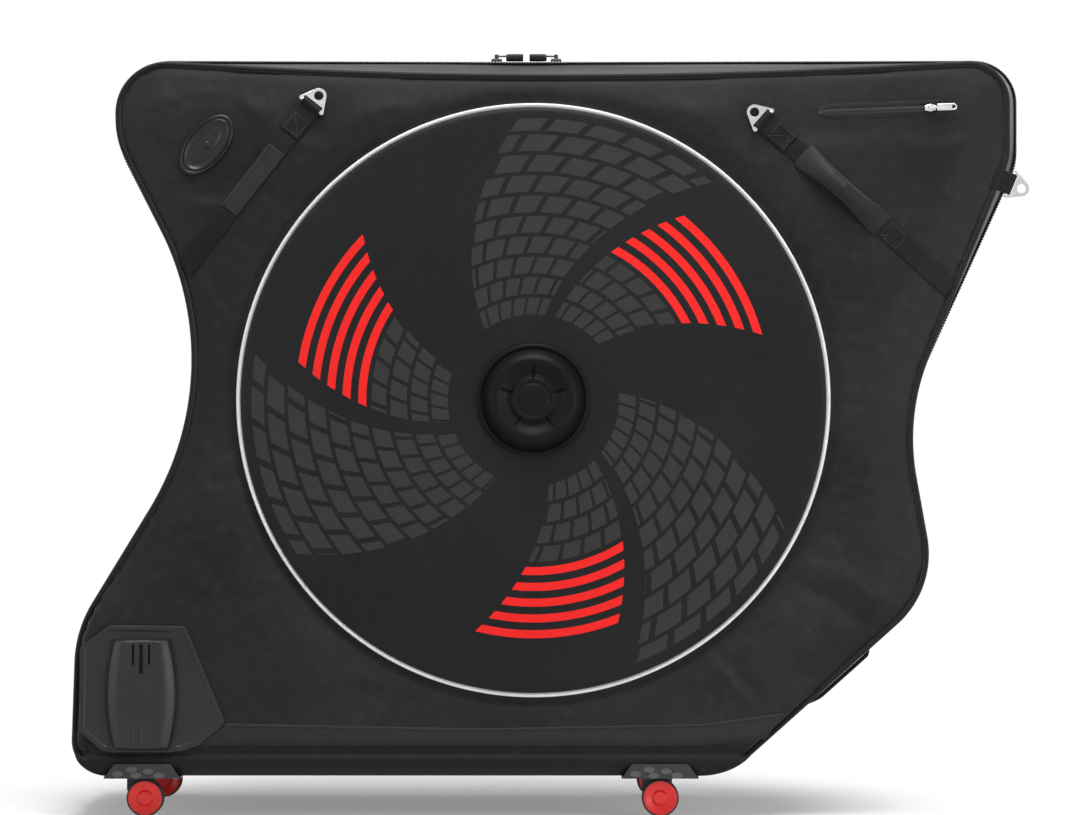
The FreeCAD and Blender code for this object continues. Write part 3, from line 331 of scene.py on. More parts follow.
class Bench:
    """Modelling moves that all pieces share, done with Blender's operators."""

    @staticmethod
    def clear() -> None:
        """Leaves edit mode and deselects everything."""
        if bpy.context.mode != "OBJECT":
            bpy.ops.object.mode_set(mode="OBJECT")
        bpy.ops.object.select_all(action="DESELECT")

    @staticmethod
    def take(*objects: Object) -> Object:
        """Selects only these objects and makes the first one active.

        Args:
            objects: What is worked on next.

        Returns:
            The first one.
        """
        Bench.clear()
        for obj in objects:
            obj.select_set(True)
        bpy.context.view_layer.objects.active = objects[0]
        return objects[0]

    @staticmethod
    def named(name: str) -> Object:
        """Names the object that an operator has just made, and returns it."""
        obj = bpy.context.object
        obj.name = obj.data.name = name
        return obj

    @staticmethod
    def edit(obj: Object, *moves: Callable[[], object]) -> Object:
        """Runs edit-mode operators on a whole mesh.

        Args:
            obj: The object.
            moves: Operators in order; everything is selected before each.

        Returns:
            The object.
        """
        Bench.take(obj)
        bpy.ops.object.mode_set(mode="EDIT")
        for move in moves:
            bpy.ops.mesh.select_all(action="SELECT")
            move()
        bpy.ops.object.mode_set(mode="OBJECT")
        return obj

    @staticmethod
    def weld(obj: Object, outwards: bool = True) -> Object:
        """Merges doubled points and, where asked, turns the faces outwards.

        Args:
            obj: The object.
            outwards: Whether the faces are turned.

        Returns:
            The object.
        """
        Bench.edit(obj, lambda: bpy.ops.mesh.remove_doubles(threshold=1e-6))
        if outwards:
            Bench.edit(obj, lambda: bpy.ops.mesh.normals_make_consistent(inside=False))
        return obj

    @staticmethod
    def capped(obj: Object) -> Object:
        """Closes both ends of a tube of rows."""
        Bench.edit(obj, lambda: bpy.ops.mesh.fill_holes(sides=64))
        return Bench.weld(obj)

    @staticmethod
    def modify(obj: Object, kind: str, **settings: object) -> Object:
        """Adds a modifier and applies it.

        Args:
            obj: The object.
            kind: Type of the modifier.
            settings: Its properties.

        Returns:
            The object.
        """
        Bench.take(obj)
        modifier = obj.modifiers.new(kind.lower(), kind)
        for key, value in settings.items():
            setattr(modifier, key, value)
        bpy.ops.object.modifier_apply(modifier=modifier.name)
        return obj

    @staticmethod
    def smooth(obj: Object, degrees: float = 40.0) -> Object:
        """Shades smooth, with edges sharper than an angle left crisp."""
        Bench.take(obj)
        bpy.ops.object.shade_smooth_by_angle(angle=math.radians(degrees))
        return obj

    @staticmethod
    def round_edges(obj: Object, width: float, segments: int = 2, degrees: float = 30.0) -> Object:
        """Bevels the edges that are sharper than an angle."""
        return Bench.modify(obj, "BEVEL", width=width, segments=segments, limit_method="ANGLE",
                            angle_limit=math.radians(degrees))

    @staticmethod
    def webbing(obj: Object, wall: float, edge: float) -> Object:
        """Gives a sheet its thickness to both sides, and soft edges."""
        Bench.modify(obj, "SOLIDIFY", thickness=wall, offset=0.0)
        return Bench.smooth(Bench.round_edges(obj, edge))

    @staticmethod
    def back(obj: Object, wall: float) -> Object:
        """Gives a sheet its thickness behind its face."""
        return Bench.modify(obj, "SOLIDIFY", thickness=wall, offset=-1.0)

    @staticmethod
    def face(obj: Object, index: int, way: Vector) -> Object:
        """Turns a sheet over where one of its faces looks away from a direction."""
        if obj.data.polygons[index].normal.dot(way) < 0:
            obj.data.flip_normals()
        return obj

    @staticmethod
    def points(obj: Object) -> np.ndarray:
        """Places of a mesh's points, one row each."""
        flat = np.zeros(len(obj.data.vertices) * 3, np.float32)
        obj.data.vertices.foreach_get("co", flat)
        return flat.reshape(-1, 3).astype(float)

    @staticmethod
    def set_points(obj: Object, points: np.ndarray) -> None:
        """Moves a mesh's points to new places."""
        obj.data.vertices.foreach_set("co", points.reshape(-1).astype(np.float32))
        obj.data.update()

    @staticmethod
    def sheet(name: str, rows: Rows, closed: bool = False) -> Object:
        """Sheet through rows of points, shaped from a grid primitive, with UVs in metres.

        Args:
            name: Name of the piece.
            rows: Rows of points, all of one length.
            closed: Whether the first and last point of each row meet.

        Returns:
            The new object.
        """
        across, along = len(rows[0]), len(rows)
        Bench.clear()
        bpy.ops.mesh.primitive_grid_add(x_subdivisions=across - 1, y_subdivisions=along - 1, size=1.0)
        obj = Bench.named(name)
        points = np.array([[tuple(p) for p in row] for row in rows])
        Bench.set_points(obj, points)
        u, v = np.zeros((2, along, across))
        u[:, 1:] = np.cumsum(np.linalg.norm(np.diff(points, axis=1), axis=2), axis=1)
        v[1:, :] = np.cumsum(np.linalg.norm(np.diff(points, axis=0), axis=2), axis=0)
        Bench.set_uv(obj, np.stack([u.reshape(-1), v.reshape(-1)], axis=1))
        return Bench.weld(obj) if closed else obj

    @staticmethod
    def set_uv(obj: Object, by_vertex: np.ndarray) -> None:
        """Writes a UV map in metres.

        Args:
            obj: The object.
            by_vertex: One pair of numbers for each vertex.
        """
        mesh = obj.data
        layer = mesh.uv_layers[0] if mesh.uv_layers else mesh.uv_layers.new()
        layer.name = PatternSource.METRES.value
        loops = np.zeros(len(mesh.loops), np.int32)
        mesh.loops.foreach_get("vertex_index", loops)
        layer.data.foreach_set("uv", by_vertex[loops].reshape(-1).astype(np.float32))

    @staticmethod
    def lathe(name: str, profile: Profile, steps: int) -> Object:
        """Turned piece about Z: a profile is extruded point by point and spun.

        Args:
            name: Name of the piece.
            profile: Radius and height of each point.
            steps: Steps round the axis.

        Returns:
            The new object, about the Z axis of its own axes.
        """
        Bench.clear()
        bpy.ops.mesh.primitive_plane_add(size=0.001)
        obj = Bench.named(name)
        bpy.ops.object.mode_set(mode="EDIT")
        bpy.ops.mesh.select_all(action="SELECT")
        bpy.ops.mesh.merge(type="CENTER")
        bpy.ops.transform.translate(value=(profile[0][0], 0.0, profile[0][1]))
        for (r0, h0), (r1, h1) in zip(profile, profile[1:]):
            bpy.ops.mesh.extrude_region_move(TRANSFORM_OT_translate={"value": (r1 - r0, 0.0, h1 - h0)})
        bpy.ops.mesh.select_all(action="SELECT")
        bpy.ops.mesh.spin(steps=steps, angle=2 * math.pi, center=(0, 0, 0), axis=(0, 0, 1))
        return Bench.weld(obj)

    @staticmethod
    def tube(name: str, points: Sequence[Vector], radius: float, turns: int = 2) -> Object:
        """Round tube along points, from a bevelled curve that is made a mesh.

        Args:
            name: Name of the piece.
            points: Points of the centre line.
            radius: Radius of the tube; 0 leaves a bare curve as a guide.
            turns: Bevel resolution.

        Returns:
            The new object.
        """
        curve = bpy.data.curves.new(name, "CURVE")
        curve.dimensions = "3D"
        spline = curve.splines.new("POLY")
        spline.points.add(len(points) - 1)
        for dot, point in zip(spline.points, points):
            dot.co = (*point, 1.0)
        curve.bevel_depth = radius
        curve.bevel_resolution = turns
        curve.use_fill_caps = True
        obj = bpy.data.objects.new(name, curve)
        bpy.context.scene.collection.objects.link(obj)
        Bench.take(obj)
        if radius > 0:
            bpy.ops.object.convert(target="MESH")
        return bpy.context.object

    @staticmethod
    def repeat(obj: Object, line: Sequence[Vector], pitch: float) -> Object:
        """Repeats a piece in a row and lays the row along a line.

        Args:
            obj: One piece, along X.
            line: Points of the line.
            pitch: Distance from one to the next.

        Returns:
            The whole row.
        """
        guide = Bench.tube("guide", line, 0.0)
        Bench.modify(obj, "ARRAY", fit_type="FIT_CURVE", curve=guide, use_relative_offset=False,
                     use_constant_offset=True, constant_offset_displace=(pitch, 0.0, 0.0))
        Bench.modify(obj, "CURVE", object=guide, deform_axis="POS_X")
        bpy.data.objects.remove(guide)
        return obj

    @staticmethod
    def plate(name: str, outline: Sequence[Vector], height: float) -> Object:
        """Flat plate: an outline is filled and extruded along Z.

        Args:
            name: Name of the piece.
            outline: Points round the plate.
            height: Its thickness.

        Returns:
            The new object.
        """
        Bench.clear()
        bpy.ops.mesh.primitive_circle_add(vertices=len(outline), fill_type="NGON")
        obj = Bench.named(name)
        for vertex, point in zip(obj.data.vertices, outline):
            vertex.co = point
        Bench.face(obj, 0, OUT)
        lift = {"value": (0.0, 0.0, height)}
        Bench.edit(obj, lambda: bpy.ops.mesh.extrude_region_move(TRANSFORM_OT_translate=lift))
        return Bench.weld(obj)

    @staticmethod
    def place(obj: Object, matrix: Matrix | None = None) -> Object:
        """Moves a piece's mesh to its place, from face axes where no matrix is given."""
        obj.data.transform(FACE.matrix() if matrix is None else matrix)
        return obj

    @staticmethod
    def copy(obj: Object, name: str, matrix: Matrix) -> Object:
        """Copy with its own mesh; a mirrored one gets its faces turned back outwards.

        Args:
            obj: What is copied.
            name: Name of the copy.
            matrix: Move from the one to the other.

        Returns:
            The copy.
        """
        made = obj.copy()
        made.data = obj.data.copy()
        made.name = made.data.name = name
        bpy.context.scene.collection.objects.link(made)
        made.data.transform(matrix)
        if matrix.determinant() < 0:
            made.data.flip_normals()
        return made

    @staticmethod
    def join(name: str, objects: Sequence[Object]) -> Object:
        """Joins objects into the first one, under a new name."""
        Bench.take(*objects)
        bpy.ops.object.join()
        return Bench.named(name)


class NodeSheet:
    """Short way to add and link nodes in one tree."""

    def __init__(self, tree: Tree) -> None:
        """Keeps the tree."""
        self.tree = tree

    @classmethod
    def blank(cls, owner: Material | bpy.types.World) -> "NodeSheet":
        """Empty sheet of a new material or world."""
        owner.use_nodes = True
        owner.node_tree.nodes.clear()
        return cls(owner.node_tree)

    def feed(self, node: Node, sockets: dict) -> Node:
        """Sets or links a node's inputs.

        Args:
            node: The node.
            sockets: Constants or sockets to link, by input name or number.

        Returns:
            The node.
        """
        for key, value in sockets.items():
            if isinstance(value, Socket):
                self.tree.links.new(value, node.inputs[key])
            else:
                node.inputs[key].default_value = value
        return node

    def add(self, kind: str, sockets: dict | None = None, **settings: object) -> Node:
        """Adds a node.

        Args:
            kind: Node type without its prefix.
            sockets: Constants or sockets to link, by input name or number.
            settings: Properties of the node.

        Returns:
            The new node.
        """
        node = self.tree.nodes.new("ShaderNode" + kind)
        for key, value in settings.items():
            setattr(node, key, value)
        return self.feed(node, sockets or {})

    def math(self, operation: str, *values: object) -> Socket:
        """Math node on values or sockets; returns its output."""
        return self.add("Math", dict(enumerate(values)), operation=operation).outputs[0]

    def weigh(self, first: object, one: float, second: object, two: float) -> Socket:
        """Weighted sum of two values; returns the output."""
        return self.math("ADD", self.math("MULTIPLY", first, one), self.math("MULTIPLY", second, two))

    def within(self, value: object, low: float, high: float) -> Socket:
        """1 where a value lies between two limits."""
        over, under = self.math("GREATER_THAN", value, low), self.math("LESS_THAN", value, high)
        return self.math("MULTIPLY", over, under)

    def blend(self, share: object, low: object, high: object) -> Socket:
        """Colour mix; returns its output."""
        return self.add("Mix", {0: share, 6: low, 7: high}, data_type="RGBA").outputs[2]

    def remap(self, value: object, low: float, high: float) -> Socket:
        """Maps 0 to 1 onto a range; returns the output."""
        return self.add("MapRange", {0: value, 3: low, 4: high}).outputs[0]

    def stretch(self, value: object, low: float, high: float) -> Socket:
        """Maps a range onto 0 to 1; returns the output."""
        return self.add("MapRange", {0: value, 1: low, 2: high}).outputs[0]

    def noise(self, place: Socket, scale: object, detail: float) -> Socket:
        """Noise texture; returns its value."""
        return self.add("TexNoise", {"Vector": place, "Scale": scale, "Detail": detail}).outputs[0]

    def seen(self) -> Socket:
        """1 for what the camera sees directly, in gloss or through glass."""
        path = self.add("LightPath")
        direct = self.math("MAXIMUM", path.outputs["Is Camera Ray"], path.outputs["Is Glossy Ray"])
        return self.math("MAXIMUM", direct, path.outputs["Is Transmission Ray"])


class Groups:
    """Shader groups that several finishes share, each built once."""

    @staticmethod
    def get(builder: Callable[[], None]) -> Tree:
        """The group that a builder makes, built when it is first asked for."""
        if builder.__name__ not in bpy.data.node_groups:
            builder()
        return bpy.data.node_groups[builder.__name__]

    @staticmethod
    def make(name: str, scale: tuple[str, float], outputs: Sequence[str]) -> tuple[NodeSheet, Node, Node]:
        """New group that reads a vector and a scale.

        Args:
            name: Name of the group.
            scale: Name and default of the scale.
            outputs: Names of the float outputs.

        Returns:
            The sheet, the group's input node and its output node.
        """
        tree = bpy.data.node_groups.new(name, "ShaderNodeTree")
        tree.interface.new_socket(name="Vector", in_out="INPUT", socket_type="NodeSocketVector")
        socket = tree.interface.new_socket(name=scale[0], in_out="INPUT", socket_type="NodeSocketFloat")
        socket.default_value = scale[1]
        for label in outputs:
            tree.interface.new_socket(name=label, in_out="OUTPUT", socket_type="NodeSocketFloat")
        return NodeSheet(tree), tree.nodes.new("NodeGroupInput"), tree.nodes.new("NodeGroupOutput")

    @staticmethod
    def weave() -> None:
        """Plain weave of round yarns, with uneven threads."""
        sheet, start, end = Groups.make("weave", ("Yarns per metre", 700.0), ("Height", "Shade"))
        inputs = {0: start.outputs[0], 3: start.outputs[1]}
        scaled = sheet.add("VectorMath", inputs, operation="SCALE").outputs[0]
        parts = sheet.add("SeparateXYZ", {0: scaled})
        waves = [sheet.math("SINE", sheet.math("MULTIPLY", parts.outputs[k], math.pi)) for k in (0, 1)]
        crossing = sheet.math("MULTIPLY", *waves)
        height = sheet.math("ADD", sheet.math("MULTIPLY", crossing, 0.4), sheet.noise(scaled, 0.35, 2.0))
        sheet.feed(end, {0: height, 1: sheet.math("ADD", sheet.math("MULTIPLY", crossing, 0.25), 0.5)})

    @staticmethod
    def mottle() -> None:
        """Soft unevenness: broad clouds, small clouds and a little dust."""
        sheet, start, end = Groups.make("mottle", ("Scale", 6.0), ("Cloud", "Dust"))
        place, scale = start.outputs[0], start.outputs[1]
        fine = sheet.noise(place, sheet.math("MULTIPLY", scale, 14.0), 4.0)
        mixed = sheet.weigh(sheet.noise(place, scale, 3.0), 0.65, fine, 0.35)
        sheet.feed(end, {0: sheet.stretch(mixed, 0.3, 0.7), 1: sheet.stretch(fine, 0.6, 0.8)})

    @staticmethod
    def grain() -> None:
        """Leathery grain of moulded plastic."""
        sheet, start, end = Groups.make("grain", ("Scale", 900.0), ("Height",))
        place, scale = start.outputs[0], start.outputs[1]
        cells = sheet.add("TexVoronoi", {"Vector": place, "Scale": scale}).outputs[0]
        sheet.feed(end, {0: sheet.math("ADD", cells, sheet.noise(place, scale, 3.0))})

    @staticmethod
    def scuff() -> None:
        """Thin handling marks that run one way."""
        sheet, start, end = Groups.make("scuff", ("Scale", 30.0), ("Mask",))
        drawn = sheet.add("Mapping", {"Vector": start.outputs[0], "Scale": (1.0, 1.0, 7.0)}).outputs[0]
        sheet.feed(end, {0: sheet.stretch(sheet.noise(drawn, start.outputs[1], 6.0), 0.56, 0.72)})


@dataclass(frozen=True)
class Finish:
    """A named material that is built once: two tones, a range of roughness and the depth of its bump."""

    name: str
    dark: Triple = (0.012, 0.012, 0.0125)
    light: Triple = (0.02, 0.02, 0.021)
    rough: tuple[float, float] = (0.38, 0.55)
    depth: float = 0.12

    def material(self) -> Material:
        """Builds the material when it is first asked for.

        Returns:
            The built material.
        """
        if self.name in bpy.data.materials:
            return bpy.data.materials[self.name]
        made = bpy.data.materials.new(self.name)
        sheet = NodeSheet.blank(made)
        shader = sheet.add("BsdfPrincipled")
        out = sheet.add("OutputMaterial", {"Surface": shader.outputs[0]})
        out.is_active_output = True
        self.dress(sheet, shader)
        return made

    def dress(self, sheet: NodeSheet, shader: Node) -> None:
        """Links the pattern into the shader.

        Args:
            sheet: Sheet of the material.
            shader: Its shader.
        """
        raise NotImplementedError

    def cover(self, sheet: NodeSheet, shader: Node, colour: Socket, dull: Socket, height: Socket,
              rise: float) -> None:
        """Links what changes over the surface into the shader.

        Args:
            sheet: Sheet of the material.
            shader: Its shader.
            colour: Colour of the surface.
            dull: 0 where it is smoothest, 1 where it is roughest.
            height: Pattern of the bump.
            rise: Height of the bump in metres.
        """
        bump = sheet.add("Bump", {"Strength": self.depth, "Distance": rise, "Height": height})
        sheet.feed(shader, {"Base Color": colour, "Roughness": sheet.remap(dull, *self.rough),
                            "Normal": bump.outputs[0]})

    def tone(self, sheet: NodeSheet, share: Socket) -> Socket:
        """Colour between the two tones."""
        return sheet.blend(share, rgba(self.dark), rgba(self.light))

    @staticmethod
    def vector(sheet: NodeSheet, source: PatternSource = PatternSource.OBJECT) -> Socket:
        """Pattern coordinates in metres."""
        if source is PatternSource.METRES:
            return sheet.add("UVMap", uv_map=source.value).outputs[0]
        return sheet.add("TexCoord").outputs["Object"]

    @staticmethod
    def group(sheet: NodeSheet, builder: Callable[[], None], vector: Socket, scale: float) -> Node:
        """Places a shared group with its own scale."""
        node = sheet.tree.nodes.new("ShaderNodeGroup")
        node.node_tree = Groups.get(builder)
        return sheet.feed(node, {0: vector, 1: scale})


@dataclass(frozen=True)
class ClothFinish(Finish):
    """Woven cloth: uneven colour, weave bump, a dull coat and sheen."""

    dark: Triple = (0.0075, 0.0076, 0.0079)
    light: Triple = (0.0148, 0.0149, 0.0154)
    rough: tuple[float, float] = (0.44, 0.62)
    depth: float = 0.3
    yarns: float = 700.0
    cloud: float = 5.0
    gloss: float = 0.12
    sheen: float = 0.15
    dust: Triple = (0.09, 0.088, 0.085)
    source: PatternSource = PatternSource.OBJECT

    def dress(self, sheet: NodeSheet, shader: Node) -> None:
        """Links the pattern into the shader.

        Args:
            sheet: Sheet of the material.
            shader: Its shader.
        """
        place = self.vector(sheet)
        weave = self.group(sheet, Groups.weave, self.weave_vector(sheet), self.yarns)
        mottle = self.group(sheet, Groups.mottle, place, self.cloud)
        tone = sheet.weigh(mottle.outputs[0], 0.75, weave.outputs[1], 0.25)
        colour = self.paint(sheet, self.tone(sheet, tone), mottle)
        self.cover(sheet, shader, colour, mottle.outputs[0], weave.outputs[0], 0.0006)
        sheet.feed(shader, {"Specular IOR Level": self.gloss, "Sheen Weight": self.sheen,
                            "Sheen Roughness": 0.45})

    def weave_vector(self, sheet: NodeSheet) -> Socket:
        """Coordinates that the weave follows: the side's own plane, or the piece's UV map.

        Args:
            sheet: Sheet of the material.

        Returns:
            The coordinates.
        """
        place = self.vector(sheet, self.source)
        if self.source is PatternSource.METRES:
            return place
        return sheet.add("Mapping", {"Vector": place, "Rotation": (-math.pi / 2, 0.0, 0.0)}).outputs[0]

    def paint(self, sheet: NodeSheet, cloth: Socket, mottle: Node) -> Socket:
        """Colour of the cloth with what lies on it: a trace of dust."""
        return sheet.blend(sheet.math("MULTIPLY", mottle.outputs[1], 0.06), cloth, rgba(self.dust))


@dataclass(frozen=True)
class PrintFinish(ClothFinish):
    """Cloth with a ring print round the wheel's centre: red arcs in three places, tonal dashes between."""

    centre: Triple = (0.0, 0.0, 0.0)
    tonal: Triple = (0.027, 0.027, 0.028)
    red: Triple = (0.70, 0.016, 0.014)
    swirl: float = 2.4
    start: float = 0.35
    arc_ring: tuple[float, float] = (0.196, 0.2845)
    arc_pitch: float = 0.0185
    arc_width: float = 0.0095
    arc_turn: tuple[float, float] = (0.25, 0.86)
    dash_ring: tuple[float, float] = (0.096, 0.331)
    dash_turn: tuple[float, float] = (0.98, 1.72)
    inner_ring: tuple[float, float] = (0.1, 0.19)
    dash_pitch: float = 0.024
    dash_gap: float = 0.0045
    dash_count: int = 44
    dash_share: float = 0.8
    stagger: float = 0.37

    def paint(self, sheet: NodeSheet, cloth: Socket, mottle: Node) -> Socket:
        """Prints the tonal dashes, then the red arcs.

        Args:
            sheet: Sheet of the material.
            cloth: Colour of the bare cloth.
            mottle: The cloth's unevenness, which wears the print.

        Returns:
            The printed colour.
        """
        do = sheet.math
        shift = {"Vector": self.vector(sheet), "Location": tuple(-c for c in self.centre)}
        spot = sheet.add("SeparateXYZ", {0: sheet.add("Mapping", shift).outputs[0]})
        x, z = spot.outputs[0], spot.outputs[2]
        radius = do("SQRT", do("ADD", do("MULTIPLY", x, x), do("MULTIPLY", z, z)))
        angle = do("ADD", do("ARCTAN2", z, x), math.pi)
        swirl = do("ADD", angle, do("MULTIPLY", radius, self.swirl))
        third = do("MODULO", do("ADD", swirl, self.start), 2 * math.pi / 3)
        beside = sheet.within(third, *self.arc_turn)
        ring = do("MODULO", do("SUBTRACT", radius, self.arc_ring[0]), self.arc_pitch)
        arcs = do("MULTIPLY", sheet.within(radius, *self.arc_ring), do("LESS_THAN", ring, self.arc_width))
        arcs = do("MULTIPLY", arcs, beside)
        row = do("FLOOR", do("DIVIDE", radius, self.dash_pitch))
        gap = do("GREATER_THAN", do("MODULO", radius, self.dash_pitch), self.dash_gap)
        pieces = sheet.weigh(swirl, self.dash_count / (2 * math.pi), row, self.stagger)
        dash = do("LESS_THAN", do("FRACT", pieces), self.dash_share)
        inner = do("MULTIPLY", beside, sheet.within(radius, *self.inner_ring))
        zone = do("MAXIMUM", sheet.within(third, *self.dash_turn), inner)
        zone = do("MULTIPLY", zone, sheet.within(radius, *self.dash_ring))
        toned = sheet.blend(do("MULTIPLY", do("MULTIPLY", gap, dash), zone), cloth, rgba(self.tonal))
        worn = do("MULTIPLY", arcs, sheet.remap(mottle.outputs[1], 1.0, 0.82))
        return sheet.blend(worn, toned, rgba(self.red))


@dataclass(frozen=True)
class MouldedFinish(Finish):
    """Moulded plastic or rubber with a fine grain and handling marks."""

    grain: float = 900.0
    gloss: float = 0.4
    marks: float = 0.25

    def dress(self, sheet: NodeSheet, shader: Node) -> None:
        """Links the pattern into the shader.

        Args:
            sheet: Sheet of the material.
            shader: Its shader.
        """
        place = self.vector(sheet)
        mottle = self.group(sheet, Groups.mottle, place, 9.0).outputs[0]
        grain = self.group(sheet, Groups.grain, place, self.grain).outputs[0]
        scuff = self.group(sheet, Groups.scuff, place, 42.0).outputs[0]
        tone = sheet.weigh(mottle, 1.0 - self.marks, scuff, self.marks)
        self.cover(sheet, shader, self.paint(sheet, self.tone(sheet, tone)), mottle, grain, 0.0004)
        sheet.feed(shader, {"Specular IOR Level": self.gloss})

    def paint(self, sheet: NodeSheet, colour: Socket) -> Socket:
        """Colour with what is rubbed or painted on it; plain plastic has nothing."""
        return colour


@dataclass(frozen=True)
class EmbossedFinish(MouldedFinish):
    """Moulded plastic whose raised outer bosses get a painted highlight: a lighter colour that stands in for
    the light they catch.
    """

    level: float = 0.2263
    # Painted highlight: lighter colour of the raised bosses, standing in for the light that they catch.
    bright: Triple = (0.074, 0.075, 0.077)

    def paint(self, sheet: NodeSheet, colour: Socket) -> Socket:
        """Paints a highlight on what stands out past a level of the width."""
        spot = sheet.add("SeparateXYZ", {0: self.vector(sheet)})
        raised = sheet.math("GREATER_THAN", sheet.math("ABSOLUTE", spot.outputs[1]), self.level)
        return sheet.blend(raised, colour, rgba(self.bright))


@dataclass(frozen=True)
class MetalFinish(Finish):
    """Plated or brushed metal with dull patches and fine marks."""

    rough: tuple[float, float] = (0.22, 0.38)
    depth: float = 0.05

    def dress(self, sheet: NodeSheet, shader: Node) -> None:
        """Links the pattern into the shader.

        Args:
            sheet: Sheet of the material.
            shader: Its shader.
        """
        place = self.vector(sheet)
        mottle = self.group(sheet, Groups.mottle, place, 22.0).outputs[0]
        scuff = self.group(sheet, Groups.scuff, place, 90.0).outputs[0]
        self.cover(sheet, shader, self.tone(sheet, mottle), scuff, scuff, 0.0003)
        sheet.feed(shader, {"Metallic": 1.0})


SHELL = ClothFinish("shell_cloth", (0.0046, 0.0047, 0.0049), (0.0205, 0.0206, 0.021), cloud=6.0, gloss=0.1)
BAND = ClothFinish("band_cloth", gloss=0.14, source=PatternSource.METRES)
LINING = ClothFinish("lining_cloth", (0.02, 0.02, 0.021), (0.032, 0.032, 0.033), yarns=900.0, sheen=0.08)
COATED = ClothFinish("coated_cloth", (0.011, 0.011, 0.0115), (0.0175, 0.0175, 0.018), (0.45, 0.6), 0.18,
                     yarns=520.0, gloss=0.17, sheen=0.05)
PIPING = MouldedFinish("pale_cord", (0.58, 0.58, 0.57), (0.72, 0.72, 0.71), (0.45, 0.6), 0.3, grain=420.0,
                       marks=0.12)
WELT = ClothFinish("welt_cloth", (0.006, 0.006, 0.0062), (0.01, 0.01, 0.0103), yarns=1100.0)
WEBBING = ClothFinish("strap_webbing", (0.0036, 0.0036, 0.0038), (0.0078, 0.0078, 0.0081), depth=0.65,
                      yarns=480.0, sheen=0.06, source=PatternSource.METRES)
LABEL = ClothFinish("label_patch", (0.013, 0.013, 0.0135), (0.019, 0.019, 0.0195), depth=0.12, yarns=1300.0,
                    source=PatternSource.METRES)
GRIP = ClothFinish("grip_cover", (0.0085, 0.0085, 0.0088), (0.015, 0.015, 0.0155), yarns=800.0,
                   source=PatternSource.METRES)
THREAD = ClothFinish("sewing_thread", (0.024, 0.024, 0.0245), (0.045, 0.045, 0.046), yarns=2600.0)
HEM_THREAD = ClothFinish("hem_thread", (0.0055, 0.0055, 0.0057), (0.0105, 0.0105, 0.0108), yarns=2600.0)
HEM = ClothFinish("hem_cloth", (0.0065, 0.0065, 0.0068), (0.0115, 0.0115, 0.012), yarns=520.0, gloss=0.1,
                  sheen=0.05)
GUARD = MouldedFinish("guard_rubber", (0.0112, 0.0112, 0.0116), (0.0182, 0.0182, 0.0187), (0.32, 0.44),
                      gloss=0.29)
SLEEVE = MouldedFinish("pull_sleeve", (0.007, 0.007, 0.0072), (0.013, 0.013, 0.0134), grain=1600.0, gloss=0.2)
# Painted shade: near-black colour for the floors of the pad's slots, standing in for the shade deep in them.
SLOT_SHADE = MouldedFinish("slot_insert", (0.003, 0.003, 0.0031), (0.0055, 0.0055, 0.0057), (0.6, 0.8), gloss=0.2)
FITTING = MouldedFinish("oval_fitting", (0.007, 0.007, 0.0073), (0.012, 0.012, 0.0124), (0.24, 0.36), 0.05,
                        grain=1500.0, gloss=0.3)
HUB_CAP = MouldedFinish("hub_cap", (0.0050, 0.0050, 0.0053), (0.0084, 0.0084, 0.0087), (0.34, 0.5), gloss=0.07)
TUB = MouldedFinish("tub_shell", (0.0085, 0.0085, 0.009), (0.0135, 0.0135, 0.014), (0.5, 0.66), 0.25,
                    grain=600.0, gloss=0.14)
# The brackets' raised bosses get a painted highlight.
BRACKET = EmbossedFinish("bracket_grey", (0.022, 0.0225, 0.023), (0.038, 0.0385, 0.039), (0.34, 0.46),
                         grain=1400.0, gloss=0.25, marks=0.4)
FORK = MouldedFinish("fork_plastic", (0.02, 0.02, 0.021), (0.04, 0.04, 0.042), grain=1200.0)
RED_HUB = MouldedFinish("red_hub", (0.74, 0.020, 0.017), (0.88, 0.034, 0.029), (0.26, 0.4), 0.05, grain=1500.0,
                        marks=0.2)
TYRE = MouldedFinish("tyre_rubber", (0.009, 0.009, 0.0092), (0.016, 0.016, 0.0165), (0.6, 0.8), 0.3,
                     grain=1800.0)
TAPE = ClothFinish("zip_tape", (0.006, 0.006, 0.0062), (0.01, 0.01, 0.0103), yarns=1500.0,
                   source=PatternSource.METRES)
TEETH = MouldedFinish("zip_teeth", (0.016, 0.016, 0.0162), (0.03, 0.03, 0.0305), (0.3, 0.42), grain=2500.0)
ZIP_METAL = MetalFinish("zip_silver", (0.62, 0.62, 0.63), (0.8, 0.8, 0.81))
DARK_METAL = MetalFinish("zip_gunmetal", (0.05, 0.05, 0.052), (0.09, 0.09, 0.093))
RING = MetalFinish("ring_plate", (0.44, 0.44, 0.45), (0.62, 0.62, 0.63), (0.3, 0.45))
STEEL = MetalFinish("screw_steel", (0.3, 0.3, 0.31), (0.45, 0.45, 0.46))
ALLOY = MetalFinish("stand_alloy", (0.42, 0.42, 0.43), (0.58, 0.58, 0.59), (0.32, 0.5))


